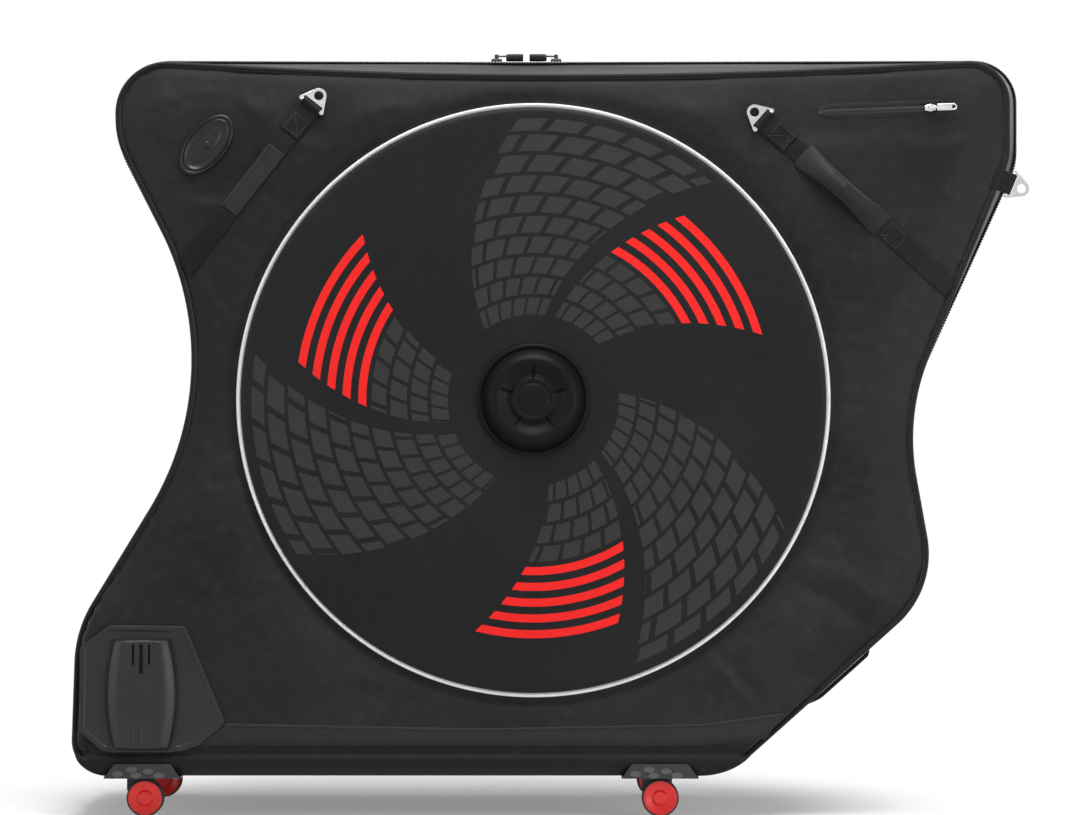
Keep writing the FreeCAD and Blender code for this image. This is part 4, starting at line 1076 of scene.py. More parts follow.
class SubAssembly:
    """One part of the case that is built and dressed together."""

    def settle(self, piece: Object, finish: Finish, body: str, slot: str, *nodes: str) -> Object:
        """Dresses a piece, sets what it rides on and what it stands for.

        Args:
            piece: The finished mesh.
            finish: Finish of its first material slot, unless it has materials already.
            body: Body that it moves with.
            slot: The record's material slot; not used.
            nodes: Solids that it stands for.

        Returns:
            The piece.
        """
        if not piece.data.materials:
            piece.data.materials.append(finish.material())
        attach(piece, body)
        if nodes:
            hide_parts(*nodes)
        LOG.info("%s: %d faces on %s", piece.name, len(piece.data.polygons), body)
        return piece

    def both(self, piece: Object, finish: Finish, slot: str, node: str = "") -> list[Object]:
        """Settles a near piece and its mirrored far copy.

        Args:
            piece: Finished near piece whose name starts with near_.
            finish: Its finish.
            slot: The record's material slot.
            node: Solid that each stands for, without its side.

        Returns:
            The near and the far piece.
        """
        far = Bench.copy(piece, "far_" + piece.name.removeprefix("near_"), ACROSS)
        made = []
        for side, obj in ((Side.NEAR, piece), (Side.FAR, far)):
            nodes = [f"{side.value}_{node}"] if node else []
            made.append(self.settle(obj, finish, f"{side.value}_side", slot, *nodes))
        return made


@dataclass(frozen=True)
class Crease:
    """Soft fold in the cloth: a line, how deep it sinks (or rises, below zero) and how wide it is."""

    points: tuple[tuple[float, float], ...]
    depth: float
    width: float


@dataclass
class SidePanels(SubAssembly):
    """The two padded side panels."""

    voxel: float = 0.008
    crown_depth: float = 0.011
    crown_reach: float = 0.075
    crown_run: float = 0.06
    crown_foot: float = 0.125
    skirt_top: float = 0.128
    sewn_room: float = 0.012
    vent_room: float = 0.044
    calm_run: float = 0.03
    least_calm: float = 0.08
    crease_gain: float = 1.5
    cloud_height: float = 0.0026
    fine_height: float = 0.0005
    groove_depth: float = 0.0042
    groove_width: float = 0.0085
    held_margin: float = 0.018
    front_level: float = -0.009
    pressure: float = 4.0
    swell_cap: float = 0.0035
    frames: int = 20
    surface: BVHTree | None = None
    creases: tuple[Crease, ...] = (
        Crease(((0.286, 0.277), (0.330, 0.260), (0.377, 0.229)), 0.0042, 0.011),
        Crease(((0.300, 0.300), (0.352, 0.282), (0.398, 0.250)), -0.0026, 0.013),
        Crease(((0.188, 0.197), (0.212, 0.165), (0.246, 0.122)), -0.0028, 0.007),
        Crease(((0.206, 0.190), (0.232, 0.160), (0.262, 0.128)), 0.0022, 0.009),
        Crease(((-0.395, 0.652), (-0.385, 0.622), (-0.369, 0.589)), 0.0032, 0.009),
        Crease(((0.349, 0.680), (0.322, 0.668), (0.290, 0.640)), 0.0018, 0.006),
        Crease(((0.352, 0.672), (0.336, 0.648), (0.318, 0.610)), 0.0016, 0.007),
        Crease(((0.430, 0.560), (0.405, 0.500), (0.398, 0.430)), -0.0024, 0.020),
        Crease(((-0.20, 0.846), (0.02, 0.836), (0.20, 0.842)), -0.0022, 0.018),
        Crease(((-0.430, 0.330), (-0.400, 0.300), (-0.360, 0.250)), 0.0020, 0.014),
    )

    def build(self) -> None:
        """Builds the near panel, creases it, and mirrors it for the far side."""
        panel = self.remeshed()
        self.shape(panel, self.crown)
        self.swell(panel)
        Bench.modify(panel, "SUBSURF", levels=1, render_levels=1)
        self.shape(panel, self.crease)
        Bench.smooth(panel, 60.0)
        self.line(panel)
        polygons = [tuple(p.vertices) for p in panel.data.polygons]
        self.surface = BVHTree.FromPolygons([v.co.copy() for v in panel.data.vertices], polygons)
        for piece in self.both(Bench.place(panel), SHELL, "shell_fabric", "side_panel"):
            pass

    def remeshed(self) -> Object:
        """Copies the panel's solid and gives the copy even faces.

        Returns:
            The copy in face axes.
        """
        source = frame["nodes"]["near_side_panel"]
        panel = source.copy()
        panel.data = source.data.copy()
        panel.name = panel.data.name = "near_panel_cover"
        panel.parent = None
        for key in list(panel.keys()):
            del panel[key]
        bpy.context.scene.collection.objects.link(panel)
        panel.data.materials.clear()
        Bench.weld(panel, outwards=False)
        Bench.modify(panel, "REMESH", mode="VOXEL", voxel_size=self.voxel)
        Bench.modify(panel, "SHRINKWRAP", target=source)
        return Bench.place(panel, FACE.matrix().inverted())

    def shape(self, panel: Object, move: Callable[[np.ndarray], np.ndarray]) -> None:
        """Moves the front of the panel along its outward axis.

        Args:
            panel: The panel in face axes.
            move: Gives how far points at these places are moved.
        """
        points = Bench.points(panel)
        points[:, 2] += move(points) * ramp(points[:, 2], -SIZES.panel_depth, SIZES.panel_depth)
        Bench.set_points(panel, points)

    @staticmethod
    def seam_distance(points: np.ndarray) -> np.ndarray:
        """Distance of face points from the seam, in the plane of the face.

        Args:
            points: Places in face axes.

        Returns:
            The distances.
        """
        line = SEAM.path(0.0, SEAM.counts(0.004))
        tree = KDTree(len(line))
        for index, point in enumerate(line):
            tree.insert(point, index)
        tree.balance()
        return np.array([tree.find((p[0], p[1], 0.0))[2] for p in points])

    @staticmethod
    def line_distance(points: np.ndarray, line: Sequence[Sequence[float]]) -> np.ndarray:
        """Distance of face points from a broken line, in the plane of the face.

        Args:
            points: Places in face axes.
            line: Corners of the line.

        Returns:
            The distances.
        """
        best = np.full(len(points), np.inf)
        for a, b in zip(line, line[1:]):
            start, way = np.array(a), np.array(b) - np.array(a)
            share = np.clip(((points[:, :2] - start) @ way) / (way @ way), 0.0, 1.0)
            best = np.minimum(best, np.linalg.norm(points[:, :2] - start - share[:, None] * way, axis=1))
        return best

    @staticmethod
    def spot_distance(points: np.ndarray, spot: Vector) -> np.ndarray:
        """Distance of face points from a spot, in the plane of the face."""
        return np.hypot(points[:, 0] - spot.x, points[:, 1] - spot.y)

    def disc_gap(self, points: np.ndarray) -> np.ndarray:
        """Distance of face points from the edge of the round wheel panel."""
        return self.spot_distance(points, FACE.centre("near_wheel_panel")) - SIZES.disc_radius

    def calm(self, points: np.ndarray) -> np.ndarray:
        """How free the cloth is.

        Args:
            points: Places in face axes.

        Returns:
            0 where something is sewn flat on the panel, 1 in the open cloth.
        """
        corner = FACE.box("gear_guard")[1]
        zip_low, zip_high = FACE.box("pocket_zip")
        middle = (zip_low.y + zip_high.y) / 2
        gaps = [
            np.maximum(points[:, 0] - corner.x, points[:, 1] - corner.y) - self.sewn_room,
            points[:, 1] - self.skirt_top,
            self.disc_gap(points) - 0.004,
            self.line_distance(points, [(zip_low.x, middle), (zip_high.x, middle)]) - self.sewn_room,
            self.spot_distance(points, FACE.centre("vent_fitting")) - self.vent_room,
        ]
        return np.prod([ramp(gap, 0.0, self.calm_run) for gap in gaps], axis=0)

    def crown(self, points: np.ndarray) -> np.ndarray:
        """Lets the front fall away towards the seam, except under the guard and along the lower edge.

        Args:
            points: Places in face axes.

        Returns:
            How far each point moves.
        """
        share = 1.0 - ramp(self.seam_distance(points), 0.0, self.crown_reach)
        corner = FACE.box("gear_guard")[1]
        past = np.maximum(points[:, 0] - corner.x + self.crown_run / 2, points[:, 1] - corner.y - 0.005)
        guard = ramp(past, 0.0, self.crown_run)
        return -self.crown_depth * share ** 2 * guard * ramp(points[:, 1], self.crown_foot, self.crown_run)

    def crease(self, points: np.ndarray) -> np.ndarray:
        """Presses the named folds, a soft overall unevenness and the groove round the wheel panel.

        Args:
            points: Places in face axes.

        Returns:
            How far each point moves.
        """
        folds = np.zeros(len(points))
        for fold in self.creases:
            start, end = np.array(fold.points[0]), np.array(fold.points[-1])
            way = (end - start) / np.linalg.norm(end - start) ** 2
            along = np.clip((points[:, :2] - start) @ way, -0.2, 1.2)
            taper = np.clip(1.0 - (2.0 * np.abs(along - 0.5) / 1.3) ** 2, 0.0, 1.0)
            folds -= fold.depth * taper * np.exp(-(self.line_distance(points, fold.points) / fold.width) ** 2)
        cloud = np.array([noise.noise((p[0] * 9.0, p[1] * 9.0, 3.1)) for p in points])
        fine = np.array([noise.noise((p[0] * 34.0, p[1] * 26.0, 7.7)) for p in points])
        soft = folds * self.crease_gain + cloud * self.cloud_height + fine * self.fine_height
        groove = np.exp(-((self.disc_gap(points) - 0.003) / self.groove_width) ** 2)
        return soft * np.maximum(self.calm(points), self.least_calm) - self.groove_depth * groove

    def swell(self, panel: Object) -> None:
        """Pumps the open cloth of the front up a little by a cloth simulation, held where it is sewn.

        Args:
            panel: The panel in face axes.
        """
        before = Bench.points(panel)
        free = self.calm(before) * (before[:, 2] > self.front_level)
        free *= ramp(self.seam_distance(before), self.held_margin, self.calm_run)
        for run in (REAR_RUN, FRONT_RUN):
            free *= ramp(self.spot_distance(before, run.start()), self.held_margin, self.calm_run)
        held = panel.vertex_groups.new(name="held")
        for index, share in enumerate(free):
            held.add([index], 1.0 - float(share), "REPLACE")
        Bench.take(panel)
        cloth = panel.modifiers.new("cloth", "CLOTH")
        settings = cloth.settings
        settings.vertex_group_mass = held.name
        settings.quality = 4
        settings.tension_stiffness = settings.compression_stiffness = 12.0
        settings.bending_stiffness = 2.0
        settings.use_pressure = True
        settings.uniform_pressure_force = self.pressure
        settings.shrink_min = -0.012
        settings.effector_weights.gravity = 0.0
        cloth.point_cache.frame_start, cloth.point_cache.frame_end = 1, self.frames
        for step in range(1, self.frames + 1):
            bpy.context.scene.frame_set(step)
        bpy.ops.object.modifier_apply(modifier=cloth.name)
        bpy.context.scene.frame_set(1)
        move = Bench.points(panel) - before
        size = np.linalg.norm(move, axis=1)
        LOG.info("panel cloth moved by %.1f mm at most, before it is held back", size.max() * 1000)
        move *= np.minimum(1.0, self.swell_cap / np.maximum(size, 1e-9))[:, None]
        Bench.set_points(panel, before + move)
        panel.vertex_groups.clear()

    def line(self, panel: Object) -> None:
        """Gives the inner face the lining, and the rest the shell's cloth.

        Args:
            panel: The panel in face axes.
        """
        panel.data.materials.append(SHELL.material())
        panel.data.materials.append(LINING.material())
        for face in panel.data.polygons:
            face.material_index = 1 if face.normal.z < -0.5 else 0

    def height(self, x: float, y: float) -> float:
        """Height of the finished front of the panel over the face plane."""
        hit = self.surface.ray_cast(Vector((x, y, 0.08)), -OUT)[0]
        return hit.z if hit else -SIZES.panel_depth


@dataclass
class Gusset(SubAssembly):
    """Soft band over the top and both ends, with its welt, seams and the main zip."""

    step: float = 0.012
    fine_step: float = 0.004
    zip_step: float = 0.006
    across: int = 17
    sag: float = 0.0025
    soft: float = 0.0042
    ripple: float = 0.0012
    roll: float = 0.0022
    roll_share: float = 0.05
    wall: float = 0.0045
    welt_radius: float = 0.003
    welt_foot: float = 0.0737
    flange_inset: float = 0.0105
    flange_lift: float = 0.001
    flange_wall: float = 0.0012
    tape_width: float = 0.015
    tape_rise: float = 0.0004
    tape_wall: float = 0.001
    tooth_rise: float = 0.0017
    tooth_pitch: float = 0.0036
    tooth_place: Triple = (0.0012, -0.0019, 0.0)
    tooth_size: Triple = (0.0023, 0.003, 0.0026)

    def rails(self) -> tuple[list[Vector], list[Vector]]:
        """Matching points along the seam and along the zip line.

        Returns:
            The points of each, in the case's axes.
        """
        counts = SEAM.counts(self.step)
        seam, line = SEAM.path(0.0, counts), ZIP_LINE.path(0.0, counts)
        kept = Outline.span(seam, SIZES.rim_cut)
        matrix = FACE.matrix()
        seam, line = (Outline.cut(path, kept, SIZES.rim_cut) for path in (seam, line))
        near = [matrix @ Vector((p.x, p.y, -SIZES.panel_depth)) for p in seam]
        return near, [Vector((p.x, -SIZES.zip_gap, p.y)) for p in line]

    def build(self) -> None:
        """Builds the band, the welt and both zip halves."""
        near, middle = self.rails()
        rows = [self.row(a, b, k, near) for k, (a, b) in enumerate(zip(near, middle))]
        band = Bench.sheet("near_gusset_cover", rows)
        self.face_out(band)
        Bench.modify(band, "SUBSURF", levels=1, render_levels=1)
        band.data.materials.append(BAND.material())
        band.data.materials.append(LINING.material())
        Bench.modify(band, "SOLIDIFY", thickness=self.wall, offset=-1.0, material_offset=1)
        Bench.smooth(band, 60.0)
        for piece in self.both(band, BAND, "shell_fabric", "gusset"):
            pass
        self.welt()
        self.zip()

    @staticmethod
    def face_out(band: Object) -> None:
        """Turns the band so that its faces look away from the middle of the case."""
        faces = band.data.polygons
        Bench.face(band, max(range(len(faces)), key=lambda k: faces[k].center.z), OUT)

    def row(self, seam: Vector, line: Vector, index: int, rail: Sequence[Vector]) -> list[Vector]:
        """Points across the band, sagging a little between its sewn edges.

        Args:
            seam: Where the row starts.
            line: Where it ends, at the zip.
            index: Number of the row.
            rail: All starts.

        Returns:
            The points of the row.
        """
        before, after = rail[max(index - 1, 0)], rail[min(index + 1, len(rail) - 1)]
        out = (after - before).cross(line - seam).normalized()
        if out.dot(seam - Vector((0.0, seam.y, 0.45))) < 0:
            out.negate()
        points = []
        for k in range(self.across):
            share = k / (self.across - 1)
            base = seam.lerp(line, share)
            soft = noise.noise((base.x * 7.0, base.y * 9.0, base.z * 7.0))
            ripple = noise.noise((base.x * 26.0, base.y * 8.0, base.z * 26.0))
            dip = math.sin(math.pi * share) * (self.sag + self.soft * soft + self.ripple * ripple)
            points.append(base - out * (dip + self.roll * math.exp(-(share / self.roll_share) ** 2)))
        return points

    def welt(self) -> None:
        """Corded welt in the seam, with the flange that is sewn between panel and band."""
        counts = SEAM.counts(self.fine_step)
        path = SEAM.path(self.welt_radius, counts)
        kept = Outline.span(path, self.welt_foot)
        height = self.welt_radius - SIZES.panel_depth
        line = [Vector((p.x, p.y, height)) for p in Outline.cut(path, kept, self.welt_foot)]
        cord = Bench.smooth(Bench.tube("near_welt_cord", line, self.welt_radius), 60.0)
        inner = Outline.cut(SEAM.path(self.flange_inset, counts), kept, self.welt_foot)
        sewn = [Vector((q.x, q.y, self.flange_lift - SIZES.panel_depth)) for q in inner]
        flange = Bench.sheet("flange", list(zip(line, sewn)))
        Bench.modify(flange, "SOLIDIFY", thickness=self.flange_wall, offset=0.0)
        self.both(Bench.place(Bench.join("near_welt_cord", [cord, flange])), WELT, "black_piping", "welt")

    def zip(self) -> None:
        """Zip tape along the middle with its row of moulded teeth."""
        counts = ZIP_LINE.counts(self.zip_step)
        low = ZIP_LINE.path(-self.tape_rise, counts)
        kept = Outline.span(low, SIZES.rim_cut)
        across = [-SIZES.zip_gap - self.tape_width * k / 4 for k in range(5)]
        rows = [[Vector((p.x, y, p.y)) for y in across] for p in Outline.cut(low, kept, SIZES.rim_cut)]
        tape = Bench.sheet("near_zip_tape", rows)
        self.face_out(tape)
        Bench.modify(tape, "SOLIDIFY", thickness=self.tape_wall, offset=1.0)
        self.both(Bench.smooth(tape), TAPE, "zip_tape", "zip_half")
        crest = Outline.cut(ZIP_LINE.path(-self.tooth_rise, counts), kept, SIZES.rim_cut)
        teeth = Bench.repeat(self.tooth(), [Vector((p.x, 0.0, p.y)) for p in crest], self.tooth_pitch)
        self.both(Bench.smooth(teeth, 35.0), TEETH, "zip_tape")

    def tooth(self) -> Object:
        """One tooth: a block with bevelled edges.

        Returns:
            The tooth, along X.
        """
        Bench.clear()
        bpy.ops.mesh.primitive_cube_add(size=1.0)
        tooth = Bench.named("near_zip_teeth")
        tooth.data.transform(Matrix.Translation(self.tooth_place) @ Matrix.Diagonal((*self.tooth_size, 1.0)))
        return Bench.modify(tooth, "BEVEL", width=0.0005, segments=1, limit_method="NONE")


@dataclass
class WheelPanels(SubAssembly):
    """Round wheel panels with their piping and the moulded hub guards."""

    steps: int = 192
    hub_steps: int = 240
    edge_height: float = 0.008
    edge_round: float = 0.006
    foot: float = 0.0002
    crown: float = 0.013
    swell_steps: int = 24
    softness: float = 0.0011
    hub_radius: float = 0.066
    piping_radius: float = 0.00275
    cord_radius: float = 0.0019
    cord_height: float = 0.0028
    flange: float = 0.006
    notches: int = 5
    notch_ring: tuple[float, float] = (0.0262, 0.0372)
    notch_half: float = 0.0013
    notch_depth: float = 0.0022

    def build(self) -> None:
        """Builds the three turned pieces and mirrors them for the far side."""
        place = FACE.turned(FACE.centre("near_wheel_panel"))
        centre = place.to_translation()
        printed = PrintFinish("printed_cloth", (0.0050, 0.0051, 0.0053), (0.0118, 0.0119, 0.0123), gloss=0.1,
                              centre=(centre.x, 0.0, centre.z))
        dome = Bench.lathe("near_wheel_cover", self.dome(), self.steps)
        self.soften(dome)
        Bench.smooth(Bench.place(dome, place), 60.0)
        for piece in self.both(dome, printed, "printed_fabric", "wheel_panel"):
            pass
        cord = Bench.smooth(Bench.lathe("near_wheel_cord", self.cord(), self.steps), 50.0)
        self.both(Bench.place(cord, place), PIPING, "pale_piping", "wheel_piping")
        guard = Bench.lathe("near_hub_cap", self.cap(), self.hub_steps)
        self.notch(guard)
        Bench.smooth(guard, 38.0)
        self.both(Bench.place(guard, place), HUB_CAP, "moulded_guard", "hub_guard")

    def dome(self) -> Profile:
        """Profile of the padded dome: back, rounded edge, slow swell and a seat for the hub guard.

        Returns:
            Radius and height of each point.
        """
        edge = SIZES.disc_radius - 2 * self.piping_radius
        shoulder = edge - self.edge_round
        profile = [(0.0, self.foot), (edge * 0.5, self.foot), (edge - 0.0005, self.foot)]
        profile += arc((shoulder, self.edge_height - self.edge_round), self.edge_round, (0, 22, 45, 68, 90))
        for k in range(1, self.swell_steps + 1):
            share = k / self.swell_steps
            swell = (self.crown - self.edge_height) * math.sin(share * math.pi / 2) ** 0.9
            profile.append((shoulder + (self.hub_radius - shoulder) * share, self.edge_height + swell))
        return profile + [(self.hub_radius * s, self.crown - 0.0004) for s in (0.7, 0.35, 0.0)]

    def soften(self, dome: Object) -> None:
        """Adds the slight unevenness of cloth over foam, none of it at the edge or the hub.

        Args:
            dome: The turned dome.
        """
        for vertex in dome.data.vertices:
            radius = vertex.co.to_2d().length
            free = min(max((0.335 - radius) / 0.06, 0.0), 1.0) * min(max((radius - 0.07) / 0.04, 0.0), 1.0)
            if vertex.co.z > self.edge_height / 2:
                vertex.co.z += free * self.softness * noise.noise(vertex.co * 11.0)

    def cord(self) -> Profile:
        """Profile of the piping: a round cord and a flange tucked under the dome's edge.

        Returns:
            Radius and height of each point.
        """
        middle = SIZES.disc_radius - self.piping_radius
        tucked = middle - self.flange
        bead = arc((middle, self.cord_height), self.cord_radius, range(-150, 151, 20))
        return [(tucked, 0.0004), *bead, (tucked, 0.0012), (tucked, 0.0004)]

    def cap(self) -> Profile:
        """Profile of the hub guard: rim bead, groove, rounded dome, valley and boss.

        Returns:
            Radius and height of each point.
        """
        outer = self.hub_radius
        rim = [
            (0.0, 0.0028), (0.0006, 0.0042), (0.0018, 0.005), (0.0036, 0.005), (0.0046, 0.0045),
            (0.0052, 0.003), (0.0058, 0.0026), (0.0066, 0.0026), (0.0076, 0.0052),
        ]
        shape = [(0.0, 0.0), (outer, 0.0)] + [(outer - inset, height) for inset, height in rim] + [
            (0.0565, 0.0095), (0.0535, 0.0145), (0.0500, 0.0183), (0.0470, 0.0198), (0.0440, 0.0200),
            (0.0405, 0.0190), (0.0370, 0.0168), (0.0335, 0.0145), (0.0310, 0.0133), (0.0292, 0.0131),
            (0.0276, 0.0140), (0.0262, 0.0156), (0.0246, 0.0168), (0.0228, 0.0172), (0.0214, 0.0170),
            (0.0202, 0.0164), (0.0190, 0.0163), (0.0178, 0.0170), (0.0160, 0.0177), (0.0110, 0.0181),
            (0.0, 0.0182),
        ]
        return [(radius, height + self.crown) for radius, height in shape]

    def notch(self, guard: Object) -> None:
        """Presses the short radial grooves into the valley.

        Args:
            guard: The turned hub guard.
        """
        pitch = 360.0 / self.notches
        for vertex in guard.data.vertices:
            radius = vertex.co.to_2d().length
            if not self.notch_ring[0] < radius < self.notch_ring[1] or vertex.co.z < self.crown + 0.008:
                continue
            turn = (math.degrees(math.atan2(vertex.co.y, vertex.co.x)) - 90.0) % pitch
            if math.radians(min(turn, pitch - turn)) * radius < self.notch_half:
                vertex.co.z -= self.notch_depth


@dataclass(frozen=True)
class Thread:
    """Row of stitches of sewing thread."""

    pitch: float = 0.0036
    length: float = 0.0029
    radius: float = 0.0005

    def run(self, points: Sequence[Vector]) -> Object:
        """Stitches along a broken line: one stitch is modelled, repeated and laid along it.

        Args:
            points: Points of the line.

        Returns:
            The row of stitches.
        """
        Bench.clear()
        bpy.ops.mesh.primitive_uv_sphere_add(segments=6, ring_count=4, radius=1.0)
        stitch = bpy.context.object
        size = Matrix.Diagonal((self.length / 2, self.radius, self.radius, 1.0))
        laid = Matrix.Translation((self.length / 2, 0.0, 0.0)) @ size @ Matrix.Rotation(math.pi / 2, 4, "Y")
        stitch.data.transform(laid)
        return Bench.smooth(Bench.repeat(stitch, points, self.pitch), 80.0)


@dataclass
class Straps(SubAssembly):
    """Webbing straps with their loops, the padded grips, the tow tab and the grab strap."""

    panels: SidePanels
    half: float = 0.0125
    thick: float = 0.0019
    edge: float = 0.0004
    loop: float = 0.0033
    axis_height: float = 0.0043
    fold: float = 0.042
    row_step: float = 0.006
    lowest: float = -0.013
    tow_share: float = 0.085
    tow_reach: float = 0.0113
    tow_height: float = 0.003
    grab_share: float = 0.49
    grab_rise: float = 0.0071
    grab_foot: float = 0.0014
    grip_length: float = 0.128
    grip_start: float = -0.060
    # Along the grip: place, width, thickness and height of its middle
    grip_marks: tuple[tuple[float, ...], ...] = (
        (0.000, 0.0318, 0.0040, 0.0050), (0.004, 0.0320, 0.0060, 0.0056), (0.012, 0.0312, 0.0088, 0.0085),
        (0.026, 0.0272, 0.0140, 0.0140), (0.042, 0.0236, 0.0188, 0.0210), (0.064, 0.0224, 0.0216, 0.0258),
    )
    label_half: float = 0.0112
    label_ends: tuple[float, float] = (-0.065, -0.157)
    label_lift: float = 0.0026
    box_half: float = 0.0095

    def build(self) -> None:
        """Builds the straps of the near side and mirrors those that the far side has."""
        straps = Bench.join("near_straps", [self.strap("rear", REAR_RUN), self.strap("front", FRONT_RUN)])
        tow, grab = self.tow_tab(), self.grab_strap()
        self.both(Bench.place(straps), WEBBING, "webbing", "webbing")
        self.settle(Bench.place(tow), WEBBING, "near_side", "webbing", "near_webbing")
        self.settle(grab, COATED, "near_side", "webbing", "near_webbing")
        self.grip()
        self.label()
        self.stitch()

    def across(self) -> list[float]:
        """Places across the webbing."""
        return [self.half * (k / 3 - 1) for k in range(7)]

    def over(self, matrix: Matrix, across: float, along: float, lift: float) -> Vector:
        """Face point a little above the panel, at a place on a strap."""
        spot = matrix @ Vector((across, along, 0.0))
        return Vector((spot.x, spot.y, max(self.panels.height(spot.x, spot.y), self.lowest) + lift))

    def strap(self, name: str, run: StrapRun) -> Object:
        """One strap: sewn end on top, round the ring's bar, and down the side to the seam.

        Args:
            name: Name of the strap.
            run: Where it starts and the way it runs.

        Returns:
            The strap in face axes.
        """
        matrix, cross = run.matrix(), self.across()
        rows: list[list[Vector]] = []
        for along in np.linspace(-self.fold, -0.010, 9):
            lift = 0.0031 + 0.0006 * math.exp(-((along + self.fold) / 0.004) ** 2)
            rows.append([self.over(matrix, c, along, lift) for c in cross])
        rows.append([self.over(matrix, c, -0.0060, 0.0034) for c in cross])
        for y, z in arc((0.0, self.axis_height), self.loop, np.linspace(158.0, -90.0, 14)):
            rows.append([matrix @ Vector((c, y, z)) for c in cross])
        along = 0.0
        inside = 1.0
        while (inside >= 0.008 or along >= -0.1) and along >= -0.5:
            along -= self.row_step
            rows.append([self.over(matrix, c, along, 0.001) for c in cross])
            inside = self.panels.seam_distance(np.array([matrix @ Vector((0.0, along, 0.0))]))[0]
        return Bench.webbing(Bench.sheet(name, rows), self.thick, self.edge)

    def tow_tab(self) -> Object:
        """Folded tab in the front seam that holds the tow ring.

        Returns:
            The tab in face axes.
        """
        spot, way = SEAM.side(SHOULDER, -self.tow_reach, self.tow_share)
        turn = Matrix.Rotation(math.atan2(way.y, way.x), 4, "Z")
        matrix = Matrix.Translation((spot.x, spot.y, self.tow_height - SIZES.panel_depth)) @ turn
        upper = [(-0.022, 0.0011), (-0.014, 0.0011), (-0.008, 0.0013), (-0.005, 0.0021)]
        profile = upper + arc((0.0, 0.0), self.loop, np.linspace(125.0, -125.0, 15))
        profile += [(along, -height) for along, height in reversed(upper)]
        rows = [[matrix @ Vector((c, along, height)) for c in self.across()] for along, height in profile]
        return Bench.webbing(Bench.sheet("near_tow_tab", rows), self.thick, self.edge)

    def grab_strap(self) -> Object:
        """Arched strap along the front slope, its feet sewn on the gusset.

        Returns:
            The strap in the case's axes.
        """
        spot, way = SEAM.side(HIP, -0.0003, self.grab_share)
        out = Vector((-way.y, way.x))
        rows = []
        for along in np.linspace(-0.070, 0.064, 47):
            share = min((0.060 + along) / 0.012, (0.052 - along) / 0.030)
            place = spot + way * along + out * (self.grab_foot + self.grab_rise * ease(share))
            rows.append([Vector((place.x, y, place.y)) for y in np.linspace(-0.138, -0.100, 7)])
        return Bench.webbing(Bench.sheet("near_grab_strap", rows), 0.0024, 0.0005)

    def grip(self) -> None:
        """Padded grip on the front strap: flat flared ends, a round bowed middle and a sewn seam."""
        matrix = FRONT_RUN.matrix()
        mirrored = [(self.grip_length - mark[0], *mark[1:]) for mark in reversed(self.grip_marks[:-1])]
        marks = np.array([*self.grip_marks, *mirrored])
        rows = []
        for along in np.linspace(0.0, self.grip_length, 49):
            width, thick, high = (np.interp(along, marks[:, 0], marks[:, k]) for k in (1, 2, 3))
            ring = []
            for k in range(33):
                angle = 2 * math.pi * k / 32
                across, up = math.cos(angle), math.sin(angle)
                size = 1.0 - 0.06 * math.exp(-((angle - 1.5 * math.pi) / 0.14) ** 2)
                size *= 1.0 + 0.012 * noise.noise((along * 160.0, across * 1.2, up * 1.2))
                spot = (width / 2 * across * size, self.grip_start - along, high + thick / 2 * up * size)
                ring.append(matrix @ Vector(spot))
            rows.append(ring)
        grip = Bench.capped(Bench.sheet("near_grip_pad", rows, closed=True))
        Bench.modify(grip, "SUBSURF", levels=1, render_levels=1)
        Bench.smooth(Bench.place(grip), 60.0)
        for piece in self.both(grip, GRIP, "padded_grip", "grip"):
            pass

    def label(self) -> None:
        """Bare patch sewn on the rear strap."""
        matrix, cross = REAR_RUN.matrix(), np.linspace(-self.label_half, self.label_half, 7)
        rows = [[self.over(matrix, c, along, self.label_lift) for c in cross]
                for along in np.linspace(*self.label_ends, 31)]
        patch = Bench.webbing(Bench.sheet("near_strap_patch", rows), 0.001, 0.0003)
        self.both(Bench.place(patch), LABEL, "webbing")

    def stitch(self) -> None:
        """Box and cross stitching at the ends of the grip, the fold and the patch."""
        rear, front, side = REAR_RUN.matrix(), FRONT_RUN.matrix(), self.box_half
        runs = []
        for matrix, low, high, lift in ((front, -0.040, -0.016, 0.0043), (front, -0.216, -0.193, 0.0022),
                                        (rear, -0.040, -0.018, 0.0043)):
            corners = ((-side, low), (side, low), (side, high), (-side, high),
                       (-side, low), (side, high), (side, low), (-side, high))
            runs.append([self.over(matrix, a, b, lift) for a, b in corners])
        edge, (start, end) = 0.0098, (-0.067, -0.155)
        border = ((-edge, start), (edge, start), (edge, end), (-edge, end), (-edge, start))
        runs.append([self.over(rear, a, b, 0.0033) for a, b in border])
        threads = [Thread().run(points) for points in runs]
        self.both(Bench.place(Bench.join("near_strap_stitches", threads)), THREAD, "webbing")


